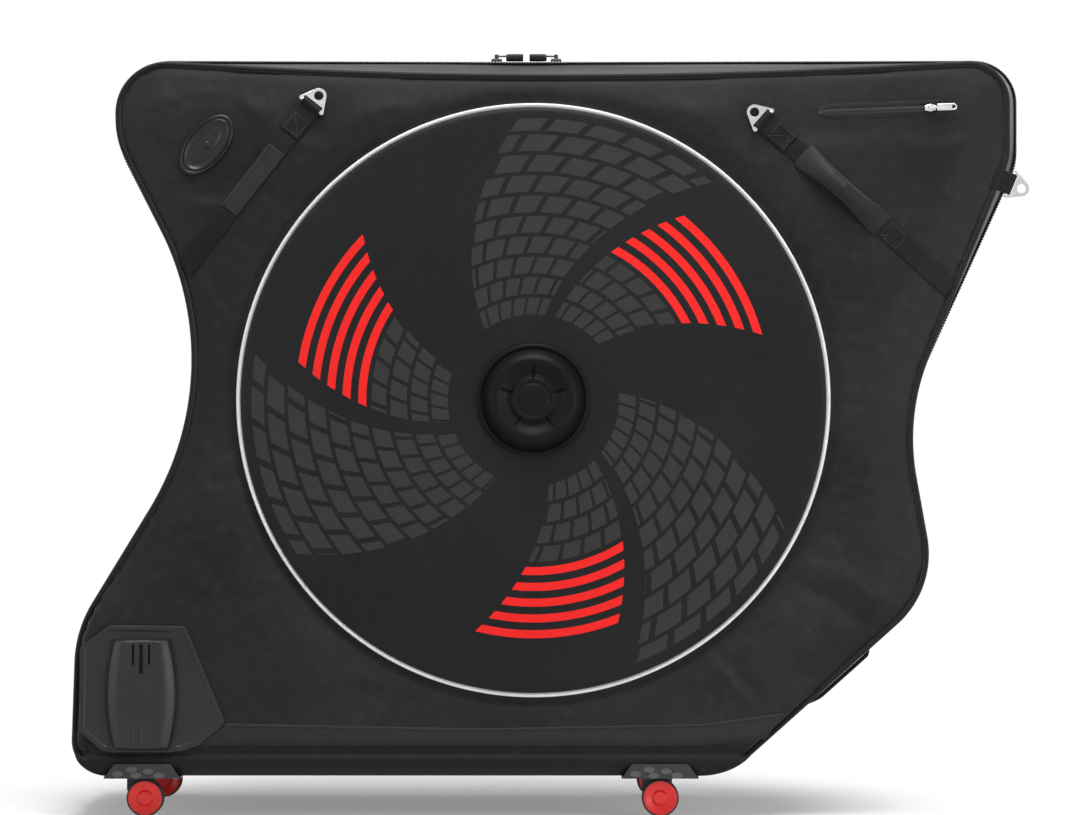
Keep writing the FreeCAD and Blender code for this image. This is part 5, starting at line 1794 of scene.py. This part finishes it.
@dataclass
class LowerTrim(SubAssembly):
    """Skirt bands, hinge strips along the rims, cuffs at the ends, and the wheel pockets inside."""

    panels: SidePanels
    skirt_top: tuple[tuple[float, float], ...] = (
        (0.1656, 0.0737), (0.4352, 0.0668), (0.6709, 0.0730), (0.7580, 0.0882))
    skirt_low: tuple[tuple[float, float], ...] = (
        (0.1369, 0.0431), (0.4352, 0.0431), (0.6688, 0.0431), (0.7380, 0.0522))
    skirt_tail: float = 0.016
    skirt_wall: float = 0.0014
    skirt_edge: float = 0.0004
    stitch_inset: float = 0.12
    stitch_lift: float = 0.0019
    tub_round: float = 0.018
    hinge_low: float = 0.0600
    hinge_high: float = 0.0870
    hinge_lift: float = 0.0008
    hinge_wall: float = 0.0009
    # Height where the strip leaves the tub, and the rise over which it reaches the panel
    hinge_step: tuple[float, float] = (0.0690, 0.0085)
    blend_heights: tuple[float, float] = (0.067, 0.078)
    cuff_low: float = 0.0545
    cuff_high: float = 0.0722
    cuff_half: float = 0.2085
    cuff_lift: float = 0.0009
    cuff_wall: float = 0.0012
    welt_top: float = 0.0732
    welt_radius: float = 0.003
    pocket_radius: float = 0.344
    pocket_depth: float = 0.070
    pocket_round: float = 0.02
    pocket_wall: float = 0.0026
    mouth_share: float = 0.45
    binding_radius: float = 0.0025

    def build(self) -> None:
        """Builds the trim of both sides."""
        top, low = ([SIZES.at(*s) for s in shares] for shares in (self.skirt_top, self.skirt_low))
        tail_top, tail_low = (SIZES.at(self.skirt_tail, s[0][1]) for s in (self.skirt_top, self.skirt_low))
        self.skirt(Side.NEAR, top, low)
        self.skirt(Side.FAR, [tail_top, *top], [tail_low, *low])
        self.hinges()
        self.cuffs()
        self.pockets()

    def skirt(self, side: Side, top: Sequence[Vector], low: Sequence[Vector]) -> None:
        """Band along one side's lower edge with a rolled upper edge and two rows of stitches.

        Args:
            side: The side.
            top: Corners of its upper edge, from the rear.
            low: Corners of its lower edge, from the rear.
        """
        rows = []
        for share in np.linspace(0.0, 1.0, 91):
            high, bottom = (self.along(line, share) for line in (top, low))
            column = []
            for part in np.linspace(0.0, 1.0, 9):
                spot = bottom.lerp(high, part)
                lift = 0.0006 + 0.0011 * math.sin(math.pi * min(part * 1.02, 1.0)) ** 0.5
                lift += 0.0002 * noise.noise((spot.x * 22.0, spot.y * 40.0, 1.0))
                column.append(Vector((spot.x, spot.y, lift)))
            rows.append(column)
        band = Bench.back(Bench.face(Bench.sheet(f"{side.value}_skirt_band", rows), 0, OUT), self.skirt_wall)
        Bench.smooth(Bench.round_edges(band, self.skirt_edge))
        lift = OUT * self.stitch_lift
        runs = [[self.along(line, s).lerp(self.along(other, s), self.stitch_inset) + lift
                 for s in np.linspace(0.003, 0.997, 60)] for line, other in ((top, low), (low, top))]
        stitches = [Thread(pitch=0.0048, length=0.0036).run(points) for points in runs]
        threads = Bench.join(f"{side.value}_skirt_stitches", stitches)
        for piece in (band, threads):
            Bench.place(piece)
            if side is Side.FAR:
                piece.data.transform(ACROSS)
                piece.data.flip_normals()
        body = f"{side.value}_side"
        self.settle(band, COATED, body, "moulded_guard", f"{side.value}_skirt")
        self.settle(threads, HEM_THREAD, body, "webbing")

    @staticmethod
    def along(line: Sequence[Vector], share: float) -> Vector:
        """Point at a share of a broken line's length.

        Args:
            line: Corners of the line.
            share: From 0 at its start to 1 at its end.

        Returns:
            The point.
        """
        runs = [(b - a).length for a, b in zip(line, line[1:])]
        left = share * sum(runs)
        for a, b, run in zip(line, line[1:], runs):
            if left <= run:
                return a.lerp(b, left / run)
            left -= run
        return line[-1].copy()

    def tub_side(self, z: float) -> float:
        """Half width of the tub at a height: its lower edges are rounded."""
        low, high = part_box("base_tub")
        sunk = max(low.z + self.tub_round - z, 0.0)
        return high.y - self.tub_round + math.sqrt(max(self.tub_round ** 2 - sunk ** 2, 0.0))

    @staticmethod
    def ends(outline: Outline, inset: float) -> dict[int, list[Vector]]:
        """Low runs of an outline at the tail (-1) and at the front (1), each from the bottom up."""
        points = [p for p in outline.path(inset, outline.counts(0.002)) if p.y < 0.092]
        return {-1: sorted((p for p in points if p.x < -0.48), key=lambda p: p.y),
                1: sorted((p for p in points if p.x > 0.14), key=lambda p: p.y)}

    @staticmethod
    def reach(run: Sequence[Vector], z: float) -> float:
        """How far along the case a low run lies at a height."""
        return float(np.interp(z, [p.y for p in run], [p.x for p in run]))

    def hinges(self) -> None:
        """Fabric strips from the tub's rim over the bead to the sides."""
        low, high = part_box("base_tub")
        line = sorted((p for run in self.ends(SEAM, 0.0012).values() for p in run), key=lambda p: p.x)
        xs, zs = [p.x for p in line], [p.y for p in line]
        rows = []
        for x in np.linspace(low.x - 0.001, high.x + 0.004, 110):
            foot = max(self.hinge_low, float(np.interp(x, xs, zs)) + 0.0006)
            rows.append([self.hinge_point(x, z) for z in np.linspace(foot, self.hinge_high, 12)])
        strip = Bench.face(Bench.sheet("near_hinge_strip", rows), 600, Vector((0.0, -1.0, 0.0)))
        Bench.smooth(Bench.back(strip, self.hinge_wall), 50.0)
        strip.data.materials.append(HEM.material())
        far = Bench.copy(strip, "far_hinge_strip", ACROSS)
        for side, piece, sign in ((Side.NEAR, strip, -1), (Side.FAR, far, 1)):
            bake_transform(piece)
            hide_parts("rim_beads")
            LOG.info("%s: %d faces, blended", piece.name, len(piece.data.polygons))

    def hinge_point(self, x: float, z: float) -> Vector:
        """Point of the near strip: on the tub below, on the panel above, with a soft step between.

        Args:
            x: Place along the case.
            z: Height.

        Returns:
            The point.
        """
        ground = max(self.panels.height(x, max(z, 0.0775)), -0.0135)
        over = FACE.matrix() @ Vector((x, z, ground + self.hinge_lift))
        share = ease((z - self.hinge_step[0]) / self.hinge_step[1])
        y = (1 - share) * -(self.tub_side(z) + self.hinge_lift) + share * over.y
        return Vector((x, y + 0.0002 * noise.noise((x * 30.0, z * 60.0, 0.0)), z))

    def cuffs(self) -> None:
        """Cloth edges on the tub's ends that meet the gussets, and the welt that runs on round the tub."""
        seam, line, cord = self.ends(SEAM, 0.0), self.ends(ZIP_LINE, 0.0), self.ends(SEAM, self.welt_radius)
        cuffs, welts = [], []
        for end, name in ((-1, "tail"), (1, "front")):
            rows = [[self.cuff_point(seam[end], line[end], y, z) + Vector((end * self.cuff_lift, 0.0, 0.0))
                     for z in np.linspace(self.cuff_low, self.cuff_high, 10)]
                    for y in np.linspace(-self.cuff_half, self.cuff_half, 41)]
            cuff = Bench.face(Bench.sheet(f"tub_cuff_{name}", rows), 100, Vector((end, 0.0, 0.0)))
            cuffs.append(Bench.smooth(Bench.back(cuff, self.cuff_wall), 50.0))
            run = [p for p in cord[end] if p.y < self.welt_top - 0.0003]
            run.append(Vector((self.reach(cord[end], self.welt_top), self.welt_top, 0.0)))
            welt = Bench.tube(f"tub_welt_{name}", [self.welt_point(p) for p in run], self.welt_radius)
            welts += [Bench.smooth(welt, 60.0), Bench.copy(welt, f"tub_welt_{name}_far", ACROSS)]
        for cuff in cuffs:
            self.settle(cuff, BAND, "base", "shell_fabric")
        self.settle(Bench.join("tub_welts", welts), WELT, "base", "black_piping")

    def cuff_point(self, seam: Sequence[Vector], line: Sequence[Vector], y: float, z: float) -> Vector:
        """Point of a cuff, bulging from the seam to the zip line as it rises."""
        tub, crest = self.reach(seam, z), self.reach(line, z)
        rise = ease((z - self.cuff_low) / (self.cuff_high - self.cuff_low))
        return Vector((tub + (crest - tub) * (1 - abs(y) / self.cuff_half) * rise, y, z))

    def welt_point(self, spot: Vector) -> Vector:
        """Point of the tub's near welt: on the rounded edge below, in line with the side's welt above."""
        inset = 0.0015 + 0.0095 * ease((spot.y - 0.058) / 0.015)
        return Vector((spot.x, inset - self.tub_side(spot.y), spot.y))

    def pockets(self) -> None:
        """Open pockets for the wheels on the inner faces, with a bound mouth."""
        radius, bend = self.pocket_radius, self.pocket_round
        back = -SIZES.panel_depth - self.pocket_depth
        profile = [(radius, -SIZES.panel_depth - 0.0004), (radius, back + bend)]
        profile += arc((radius - bend, back + bend), bend, (-22, -45, -68, -90))
        profile += [(radius * s, back + 0.0022 * math.sin(math.pi * s)) for s in (0.8, 0.6, 0.4, 0.2, 0.0)]
        cup = Bench.lathe("near_wheel_pocket_cover", profile, 120)
        mouth = self.mouth_share * radius
        Bench.edit(cup, lambda: bpy.ops.mesh.bisect(plane_co=(0.0, mouth, 0.0), plane_no=(0.0, 1.0, 0.0),
                                                   clear_outer=True))
        Bench.smooth(Bench.back(cup, self.pocket_wall), 50.0)
        half = math.sqrt(radius ** 2 - mouth ** 2) - bend
        bound = [Vector((x, mouth, back + 0.0012)) for x in np.linspace(-half, half, 30)]
        cup = Bench.join("near_wheel_pocket_cover", [cup, Bench.tube("binding", bound, self.binding_radius)])
        Bench.place(cup, FACE.turned(FACE.centre("near_wheel_panel")))
        for piece in self.both(cup, LINING, "lining_fabric", "wheel_pocket"):
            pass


@dataclass(frozen=True)
class PadMark:
    """Sunk slot or raised rib on the guard's pad: place, length, width and rise."""

    x: float
    y: float
    length: float
    width: float
    rise: float

    def share(self, x: float, y: float) -> float:
        """1 inside the mark, 0 outside, with a short slope between."""
        inside = min(self.width / 2 - abs(x - self.x), self.length / 2 - abs(y - self.y))
        return min(max(inside / 0.0006 + 0.5, 0.0), 1.0)


@dataclass
class NearFittings(SubAssembly):
    """Pieces that only the near side has: gear guard, oval fitting and pocket zip."""

    guard_shares: tuple[tuple[float, float], ...] = (
        (0.0110, 0.1808), (0.0425, 0.2100), (0.1231, 0.2086), (0.1656, 0.0737), (0.1369, 0.0431),
        (0.1189, 0.0350), (0.0350, 0.0350), (0.0100, 0.0626))
    guard_height: float = 0.0032
    rim_width: float = 0.0058
    rim_height: float = 0.0034
    pad_centre: tuple[float, float] = (0.0764, 0.1140)
    pad_half: float = 0.065
    pad_end: float = 0.0325
    pad_bulge: float = 0.009
    pad_corner: float = 0.005
    pad_wall: float = 0.001
    slots: tuple[PadMark, ...] = (
        PadMark(-0.0095, 0.0465, 0.023, 0.0018, -0.0034), PadMark(0.0, 0.0415, 0.033, 0.0036, -0.0034),
        PadMark(0.0095, 0.0465, 0.023, 0.0018, -0.0034))
    ribs: tuple[PadMark, ...] = tuple(
        PadMark(x, -0.0475, 0.020, 0.0018, 0.0007) for x in (-0.0095, 0.0, 0.0095))
    vent_centre: tuple[float, float] = (0.1444, 0.8783)
    vent_degrees: float = 51.0
    vent_squeeze: float = 0.55
    lens_half: float = 0.0295
    lens_wall: float = 0.0008
    zip_centre: tuple[float, float] = (0.8716, 0.9277)
    zip_degrees: float = 2.1
    zip_rear: float = -0.085
    zip_front: float = 0.068
    zip_wall: float = 0.0006
    coil_radius: float = 0.00045

    def build(self) -> None:
        """Builds the fittings."""
        self.guard()
        self.vent()
        self.pocket_zip()

    @staticmethod
    def rounded(points: Sequence[Vector], radius: float, steps: int = 5) -> list[Vector]:
        """Outline with its corners rounded.

        Args:
            points: Corners in order.
            radius: Rounding radius.
            steps: Pieces of each corner.

        Returns:
            Points of the rounded outline.
        """
        made = []
        for index, corner in enumerate(points):
            before, after = points[index - 1] - corner, points[(index + 1) % len(points)] - corner
            a, b = before.normalized(), after.normalized()
            reach = min(radius / math.tan(a.angle(b) / 2), before.length * 0.45, after.length * 0.45)
            first, last = corner + a * reach, corner + b * reach
            for share in np.linspace(0.0, 1.0, steps + 1):
                made.append(first.lerp(corner, share).lerp(corner.lerp(last, share), share))
        return made

    def guard(self) -> None:
        """Moulded plate with a raised border, a framed barrel pad, slots and ribs."""
        outline = self.rounded([SIZES.at(*s) for s in self.guard_shares], 0.010)
        plate = Bench.plate("gear_guard_cover", outline, self.guard_height)
        self.sink(plate, 0.0055, 0.0)
        self.sink(plate, 0.0012, -0.0011)
        Bench.round_edges(plate, 0.0008, 3, 35.0)
        centre = SIZES.at(*self.pad_centre)
        rim = self.barrel("rim", centre, self.rim_width, self.rim_height)
        self.sink(rim, 0.0034, 0.0)
        self.sink(rim, 0.0004, -0.0026)
        Bench.round_edges(rim, 0.0006, 2, 35.0)
        guard = Bench.join("gear_guard_cover", [plate, rim, self.pad(centre)])
        self.darken(guard, centre)
        self.settle(Bench.place(Bench.smooth(guard, 38.0)), GUARD, "near_side", "moulded_guard", "gear_guard")

    def darken(self, guard: Object, centre: Vector) -> None:
        """Gives the floors of the sunk slots a near-black finish, painted shade that stands in for the shade
        deep in the slots.

        Args:
            guard: The whole guard in face axes.
            centre: Middle of its pad.
        """
        # The slot floors get painted shade.
        for finish in (GUARD, SLOT_SHADE):
            guard.data.materials.append(finish.material())
        for face in guard.data.polygons:
            spot = face.center - centre
            sunk = any(abs(spot.x - slot.x) < slot.width / 2 - 0.0001 and
                       abs(spot.y - slot.y) < slot.length / 2 + 0.0002 for slot in self.slots)
            face.material_index = 1 if sunk and face.center.z > 0.004 else 0

    @staticmethod
    def sink(obj: Object, inset: float, depth: float) -> None:
        """Insets the largest upward face and pushes the inner part up or down.

        Args:
            obj: The plate.
            inset: Width of the border that is left.
            depth: How far the inner part moves.
        """
        Bench.take(obj)
        mesh = obj.data
        top = max((f for f in mesh.polygons if f.normal.z > 0.9), key=lambda f: f.area).index
        for part in (*mesh.polygons, *mesh.edges, *mesh.vertices):
            part.select = False
        mesh.polygons[top].select = True
        bpy.ops.object.mode_set(mode="EDIT")
        bpy.ops.mesh.select_mode(type="FACE")
        bpy.ops.mesh.inset(thickness=inset, depth=depth)
        bpy.ops.mesh.select_mode(type="VERT")
        bpy.ops.object.mode_set(mode="OBJECT")

    def barrel_half(self, y: float, half: float, end: float) -> float:
        """Half width of a barrel at a place along it, from its half length and its ends' half width."""
        radius = (half ** 2 + self.pad_bulge ** 2) / (2 * self.pad_bulge)
        return end + math.sqrt(radius ** 2 - y ** 2) - (radius - self.pad_bulge)

    def barrel(self, name: str, centre: Vector, grow: float, height: float) -> Object:
        """Plate of the pad's barrel outline.

        Args:
            name: Name of the piece.
            centre: Middle of the pad.
            grow: How much larger than the pad it is.
            height: Its thickness.

        Returns:
            The plate.
        """
        half, end, count = self.pad_half + grow / 2, self.pad_end + grow, 13
        points = []
        for side in (1, -1):
            for y in np.linspace(side * half, -side * half, count):
                points.append(centre + Vector((side * self.barrel_half(y, half, end), y, 0.0)))
        outline = []
        for index, point in enumerate(points):
            if index % count in (0, count - 1):
                corner = [points[index - 1], point, points[(index + 1) % len(points)]]
                outline += self.rounded(corner, 0.004)[6:12]
            else:
                outline.append(point)
        return Bench.plate(name, outline, height)

    def pad(self, centre: Vector) -> Object:
        """Crowned barrel pad with a rounded edge, three sunk slots above and three low ribs below.

        Args:
            centre: Its middle on the face.

        Returns:
            The pad in face axes.
        """
        rows = []
        for y in np.linspace(-self.pad_half, self.pad_half, 165):
            past = max(abs(y) - (self.pad_half - self.pad_corner), 0.0)
            wide = self.barrel_half(y, self.pad_half, self.pad_end)
            wide -= self.pad_corner - math.sqrt(self.pad_corner ** 2 - past ** 2)
            rows.append([centre + Vector((u * wide, y, self.pad_height(u, y, wide)))
                         for u in np.linspace(-1.0, 1.0, 143)])
        pad = Bench.sheet("pad", rows)
        return Bench.back(Bench.face(pad, len(pad.data.polygons) // 2, OUT), self.pad_wall)

    def pad_height(self, u: float, y: float, wide: float) -> float:
        """Height of the pad over the face.

        Args:
            u: Share across, from -1 to 1.
            y: Place along the pad.
            wide: Half width there.

        Returns:
            Height in metres.
        """
        edge = min(min((1 - abs(u)) * wide, self.pad_half - abs(y)) / 0.0036, 1.0)
        height = 0.0022 + 0.0078 * math.sqrt(1 - (1 - edge) ** 2)
        height += 0.0066 * (1 - u * u) * (1 - 0.3 * (y / self.pad_half) ** 2)
        height += 0.0030 * math.exp(-((abs(u) - 0.62) / 0.24) ** 2) * edge
        return height + sum(mark.rise * mark.share(u * wide, y) for mark in self.slots + self.ribs)

    def vent(self) -> None:
        """Oval fitting: double rim, dished well, a lens with a small knob."""
        rim = Bench.lathe("vent_fitting_cover", [
            (0.0, 0.0), (0.042, 0.0), (0.042, 0.0022), (0.0414, 0.0036), (0.0402, 0.0044), (0.0388, 0.0045),
            (0.0376, 0.0040), (0.0370, 0.0032), (0.0362, 0.0031), (0.0354, 0.0040), (0.0344, 0.0046),
            (0.0332, 0.0044), (0.0322, 0.0034), (0.0308, 0.0026), (0.026, 0.0022), (0.016, 0.0020),
            (0.0, 0.0020)], 96)
        rim.data.transform(Matrix.Diagonal((1.0, self.vent_squeeze, 1.0, 1.0)))
        rows = []
        for along in np.linspace(-self.lens_half, self.lens_half, 31):
            bow = 0.0098 * (1 - (along / 0.0298) ** 2)
            fall = 1 - (along / 0.031) ** 2
            rows.append([Vector((along, bow * a, 0.0021 + fall * self.lens_height(a)))
                         for a in np.linspace(-1.0, 1.0, 15)])
        lens = Bench.back(Bench.face(Bench.sheet("lens", rows), 7, OUT), self.lens_wall)
        knob = Bench.lathe("knob", [(0.0, 0.002), (0.0046, 0.002), (0.0046, 0.0044), (0.0042, 0.0054),
                                    (0.0032, 0.0060), (0.0018, 0.0062), (0.0, 0.0062)], 32)
        vent = Bench.smooth(Bench.join("vent_fitting_cover", [rim, lens, knob]), 45.0)
        Bench.place(vent, FACE.turned(SIZES.at(*self.vent_centre), self.vent_degrees))
        self.settle(vent, FITTING, "near_side", "moulded_guard", "vent_fitting")

    @staticmethod
    def lens_height(share: float) -> float:
        """Height of the lens at a share across: round, with a dished middle."""
        return 0.0024 * math.sqrt(max(0.0, 1 - share * share)) - 0.0016 * math.exp(-(share / 0.45) ** 2)

    def pocket_zip(self) -> None:
        """Coil zip in a slot of the panel, with turned cloth lips on both sides."""
        turn = FACE.turned(SIZES.at(*self.zip_centre), self.zip_degrees)
        rear, front = self.zip_rear, self.zip_front
        ends = [(x, min(1.0, (x - rear) / 0.014, (front - x) / 0.008) ** 0.6)
                for x in np.linspace(rear, front, 60)]
        rows = [[Vector((x, y * (0.3 + 0.7 * taper), 0.0003)) for y in np.linspace(-0.005, 0.005, 9)]
                for x, taper in ends]
        tape = Bench.back(Bench.face(Bench.sheet("pocket_zip_tape", rows), 0, OUT), self.zip_wall)
        self.settle(Bench.place(Bench.smooth(tape), turn), TAPE, "near_side", "zip_tape", "pocket_zip")
        profile = ((0.0100, -0.0003), (0.0082, 0.0003), (0.0062, 0.0007), (0.0044, 0.0009), (0.0034, 0.0005))
        lips = []
        for sign in (-1, 1):
            rows = [[Vector((x, sign * y * (0.35 + 0.65 * taper), h - 0.0008 * (1 - taper)))
                     for y, h in profile] for x, taper in ends]
            lips.append(Bench.back(Bench.face(Bench.sheet(f"lip_{sign}", rows), 3, OUT), self.zip_wall))
        lip = Bench.smooth(Bench.join("pocket_zip_lips", lips), 50.0)
        self.settle(Bench.place(lip, turn), SHELL, "near_side", "shell_fabric")
        coil_line = []
        for k, x in enumerate(np.linspace(rear + 0.004, front - 0.004, 440)):
            quarter = k * math.pi / 2
            coil_line.append(Vector((x, 0.0015 * math.cos(quarter), 0.0013 + 0.0007 * math.sin(quarter))))
        coil = Bench.smooth(Bench.tube("pocket_zip_coil", coil_line, self.coil_radius, turns=0), 80.0)
        self.settle(Bench.place(coil, turn), TEETH, "near_side", "zip_tape")


@dataclass
class Hardware(SubAssembly):
    """Rigid solids that stay, with their own finishes and soft edges."""

    sleeve_share: float = 0.62
    sleeve_half: float = 0.0046
    sleeve_past: float = 0.0012

    def build(self) -> None:
        """Dresses the rigid solids and adds the sleeves of the main zip's pulls."""
        for end, way in (("rear", 1.0), ("front", -1.0)):
            self.sleeve(end, way)
        corners = ("rear_near", "rear_far", "front_near", "front_far")
        sets = [
            (TUB, 0.0012, ["base_tub"]),
            (BRACKET, 0.0005, ["caster_brackets"]),
            (STEEL, 0.0003, ["bracket_screws"]),
            (FORK, 0.0006, [f"caster_fork_{c}" for c in corners]),
            (RED_HUB, 0.0005, [f"caster_hubs_{c}" for c in corners]),
            (TYRE, 0.0004, [f"caster_tyres_{c}" for c in corners]),
            (RING, 0.0005, [f"{s.value}_{k}_ring" for s in Side for k in ("rear", "front")] + ["tow_ring"]),
            (ZIP_METAL, 0.0003, ["pocket_slider", "pocket_pull"]),
            (DARK_METAL, 0.0003, [f"zip_{k}_{e}" for k in ("slider", "pull") for e in ("rear", "front")]),
            (ALLOY, 0.0006, ["stand_frame", "rear_upright", "front_carriage"]),
            (STEEL, 0.0004, ["rear_hub", "front_hub"]),
            (ALLOY, 0.0006, ["rear_lever", "front_lever"]),
            (FORK, 0.0006, ["clamp_knob"]),
        ]
        for finish, edge, nodes in sets:
            for node in nodes:
                self.dress(frame["nodes"][node], finish, edge)

    def sleeve(self, end: str, way: float) -> None:
        """Soft sleeve moulded round the tab of a main zip's pull.

        Args:
            end: Which of the two sliders.
            way: 1 where the tab points to the front, -1 where it points back.
        """
        low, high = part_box(f"zip_pull_{end}")
        seat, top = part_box(f"zip_slider_{end}")[0].z + 0.0002, high.z + 0.0003
        length = self.sleeve_share * (high.x - low.x)
        tip = (high.x if way > 0 else low.x) + way * self.sleeve_past
        rows = []
        for share in np.linspace(0.0, 1.0, 21):
            swell = math.sin(math.pi * min(0.5 + abs(share - 0.45) * 0.9, 1.0)) ** 0.5 * 0.9 + 0.1
            half, rise = self.sleeve_half * (0.72 + 0.28 * swell), (top - seat) / 2 * (0.92 + 0.08 * swell)
            x, middle = tip - way * length * share, (top + seat) / 2
            ring = [(self.squared(math.cos(a)), self.squared(math.sin(a)))
                    for a in np.linspace(0.0, 2 * math.pi, 33)]
            rows.append([Vector((x, half * across, middle + rise * up)) for across, up in ring])
        sleeve = Bench.capped(Bench.sheet(f"zip_pull_sleeve_{end}", rows, closed=True))
        Bench.round_edges(sleeve, 0.0008, 2, 50.0)
        self.settle(Bench.smooth(sleeve), SLEEVE, f"zip_pull_{end}", "zip_tape")

    @staticmethod
    def squared(value: float) -> float:
        """Coordinate of a rounded square's outline, from that of a circle."""
        return math.copysign(abs(value) ** 0.6, value)

    @staticmethod
    def dress(solid: Object, finish: Finish, edge: float) -> None:
        """Gives a solid its finish and a small live bevel.

        Args:
            solid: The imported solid's object.
            finish: Its finish.
            edge: Width of the bevel.
        """
        solid.data.materials.clear()
        solid.data.materials.append(finish.material())
        weld = solid.modifiers.new("weld", "WELD")
        weld.merge_threshold = 1e-6
        bevel = solid.modifiers.new("bevel", "BEVEL")
        bevel.width, bevel.segments = edge, 2
        bevel.limit_method, bevel.angle_limit = "ANGLE", math.radians(40)
        bevel.use_clamp_overlap = True
        bevel.harden_normals = False
        LOG.info("%s: solid dressed in %s", solid.name, finish.name)


@dataclass(frozen=True)
class Lamp:
    """Square soft lamp: where it hangs, the point that it faces, its side and its power in watts."""

    name: str
    place: Triple
    aim: Triple
    size: float
    power: float

    def hang(self) -> None:
        """Adds the lamp to the scene."""
        data = bpy.data.lights.new(self.name, "AREA")
        data.size, data.energy = self.size, self.power
        lamp = bpy.data.objects.new(self.name, data)
        lamp.location = self.place
        lamp.rotation_euler = (Vector(self.aim) - Vector(self.place)).to_track_quat("-Z", "Y").to_euler()
        bpy.context.scene.collection.objects.link(lamp)


@dataclass
class Studio:
    """Floor, soft light, white surroundings and the camera."""

    camera_place: Triple = (-0.0084, -7.15, 0.4823)
    lens: float = 197.0
    sensor: float = 36.0
    floor_size: float = 40.0
    paper: Triple = (0.80, 0.80, 0.80)
    bounce: Triple = (0.75, 0.75, 0.75)
    white: Triple = (1.0, 1.0, 1.0)
    glow: float = 0.25
    soft: float = 0.32
    # Middle and reach along and across of the floor that keeps the shadow
    kept_floor: tuple[tuple[float, float], ...] = ((-0.13, 0.43), (0.0, 0.62))
    fade: tuple[float, float] = (0.9, 1.5)
    lamps: tuple[Lamp, ...] = (
        Lamp("key", (0.2, -2.2, 3.4), (0.0, 0.0, 0.45), 1.5, 36.0),
        Lamp("top", (0.0, -0.9, 3.2), (0.0, 0.0, 0.3), 2.0, 96.0),
        Lamp("left", (-3.2, -1.6, 0.7), (0.0, 0.0, 0.35), 1.4, 14.0),
        Lamp("right", (1.55, -1.4, 0.3), (0.2, 0.0, 0.4), 0.9, 17.0),
    )

    def build(self) -> None:
        """Builds the studio round the case."""
        self.floor()
        for lamp in self.lamps:
            lamp.hang()
        self.world()
        self.camera()
        bpy.context.scene.view_settings.view_transform = "Standard"

    def floor(self) -> None:
        """Pale floor that fades to the white of the surroundings and keeps the shadow."""
        Bench.clear()
        bpy.ops.mesh.primitive_grid_add(x_subdivisions=4, y_subdivisions=4, size=self.floor_size)
        floor = Bench.named("floor")
        made = bpy.data.materials.new("floor_paper")
        sheet = NodeSheet.blank(made)
        paper = sheet.add("BsdfDiffuse", {"Color": rgba(self.paper)})
        glow = sheet.add("Emission", {"Color": rgba(self.white), "Strength": self.glow})
        lit = sheet.add("AddShader", {0: paper.outputs[0], 1: glow.outputs[0]})
        spot = sheet.add("SeparateXYZ", {0: sheet.add("TexCoord").outputs["Object"]})
        ways = [sheet.math("DIVIDE", sheet.math("SUBTRACT", spot.outputs[k], middle), reach)
                for k, (middle, reach) in enumerate(self.kept_floor)]
        away = sheet.math("SQRT", sheet.math("ADD", *(sheet.math("MULTIPLY", w, w) for w in ways)))
        limits = {0: away, 1: self.fade[0], 2: self.fade[1]}
        fade = sheet.add("MapRange", limits, interpolation_type="SMOOTHSTEP").outputs[0]
        white = sheet.add("Emission", {"Color": rgba(self.white), "Strength": 1.0})
        lit = sheet.add("MixShader", {0: fade, 1: lit.outputs[0], 2: white.outputs[0]})
        plain = sheet.add("BsdfDiffuse", {"Color": rgba(self.bounce)})
        mixed = sheet.add("MixShader", {0: sheet.seen(), 1: plain.outputs[0], 2: lit.outputs[0]})
        sheet.add("OutputMaterial", {"Surface": mixed.outputs[0]})
        floor.data.materials.append(made)

    def world(self) -> None:
        """White to the camera, to gloss and through glass; a plain soft level for the rest."""
        world = bpy.data.worlds.new("studio")
        bpy.context.scene.world = world
        sheet = NodeSheet.blank(world)
        soft = sheet.add("Background", {"Color": rgba(self.white), "Strength": self.soft})
        white = sheet.add("Background", {"Color": rgba(self.white), "Strength": 1.0})
        mixed = sheet.add("MixShader", {0: sheet.seen(), 1: soft.outputs[0], 2: white.outputs[0]})
        sheet.add("OutputWorld", {"Surface": mixed.outputs[0]})

    def camera(self) -> None:
        """Level camera square to the near side."""
        data = bpy.data.cameras.new("photo_view")
        data.lens, data.sensor_width = self.lens, self.sensor
        camera = bpy.data.objects.new("photo_view", data)
        camera.location = self.camera_place
        camera.rotation_euler = (math.pi / 2, 0.0, 0.0)
        bpy.context.scene.collection.objects.link(camera)
        bpy.context.scene.camera = camera


def main() -> None:
    """Builds the studio and the case piece by piece."""
    logging.basicConfig(level=logging.INFO, format="%(name)s: %(message)s")
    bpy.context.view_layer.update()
    Studio().build()
    panels = SidePanels()
    trims = (Gusset(), WheelPanels(), Straps(panels), LowerTrim(panels), NearFittings(), Hardware())
    for part in (panels, *trims):
        part.build()
        LOG.info("%s done", type(part).__name__)


if __name__ == "__main__":
    main()
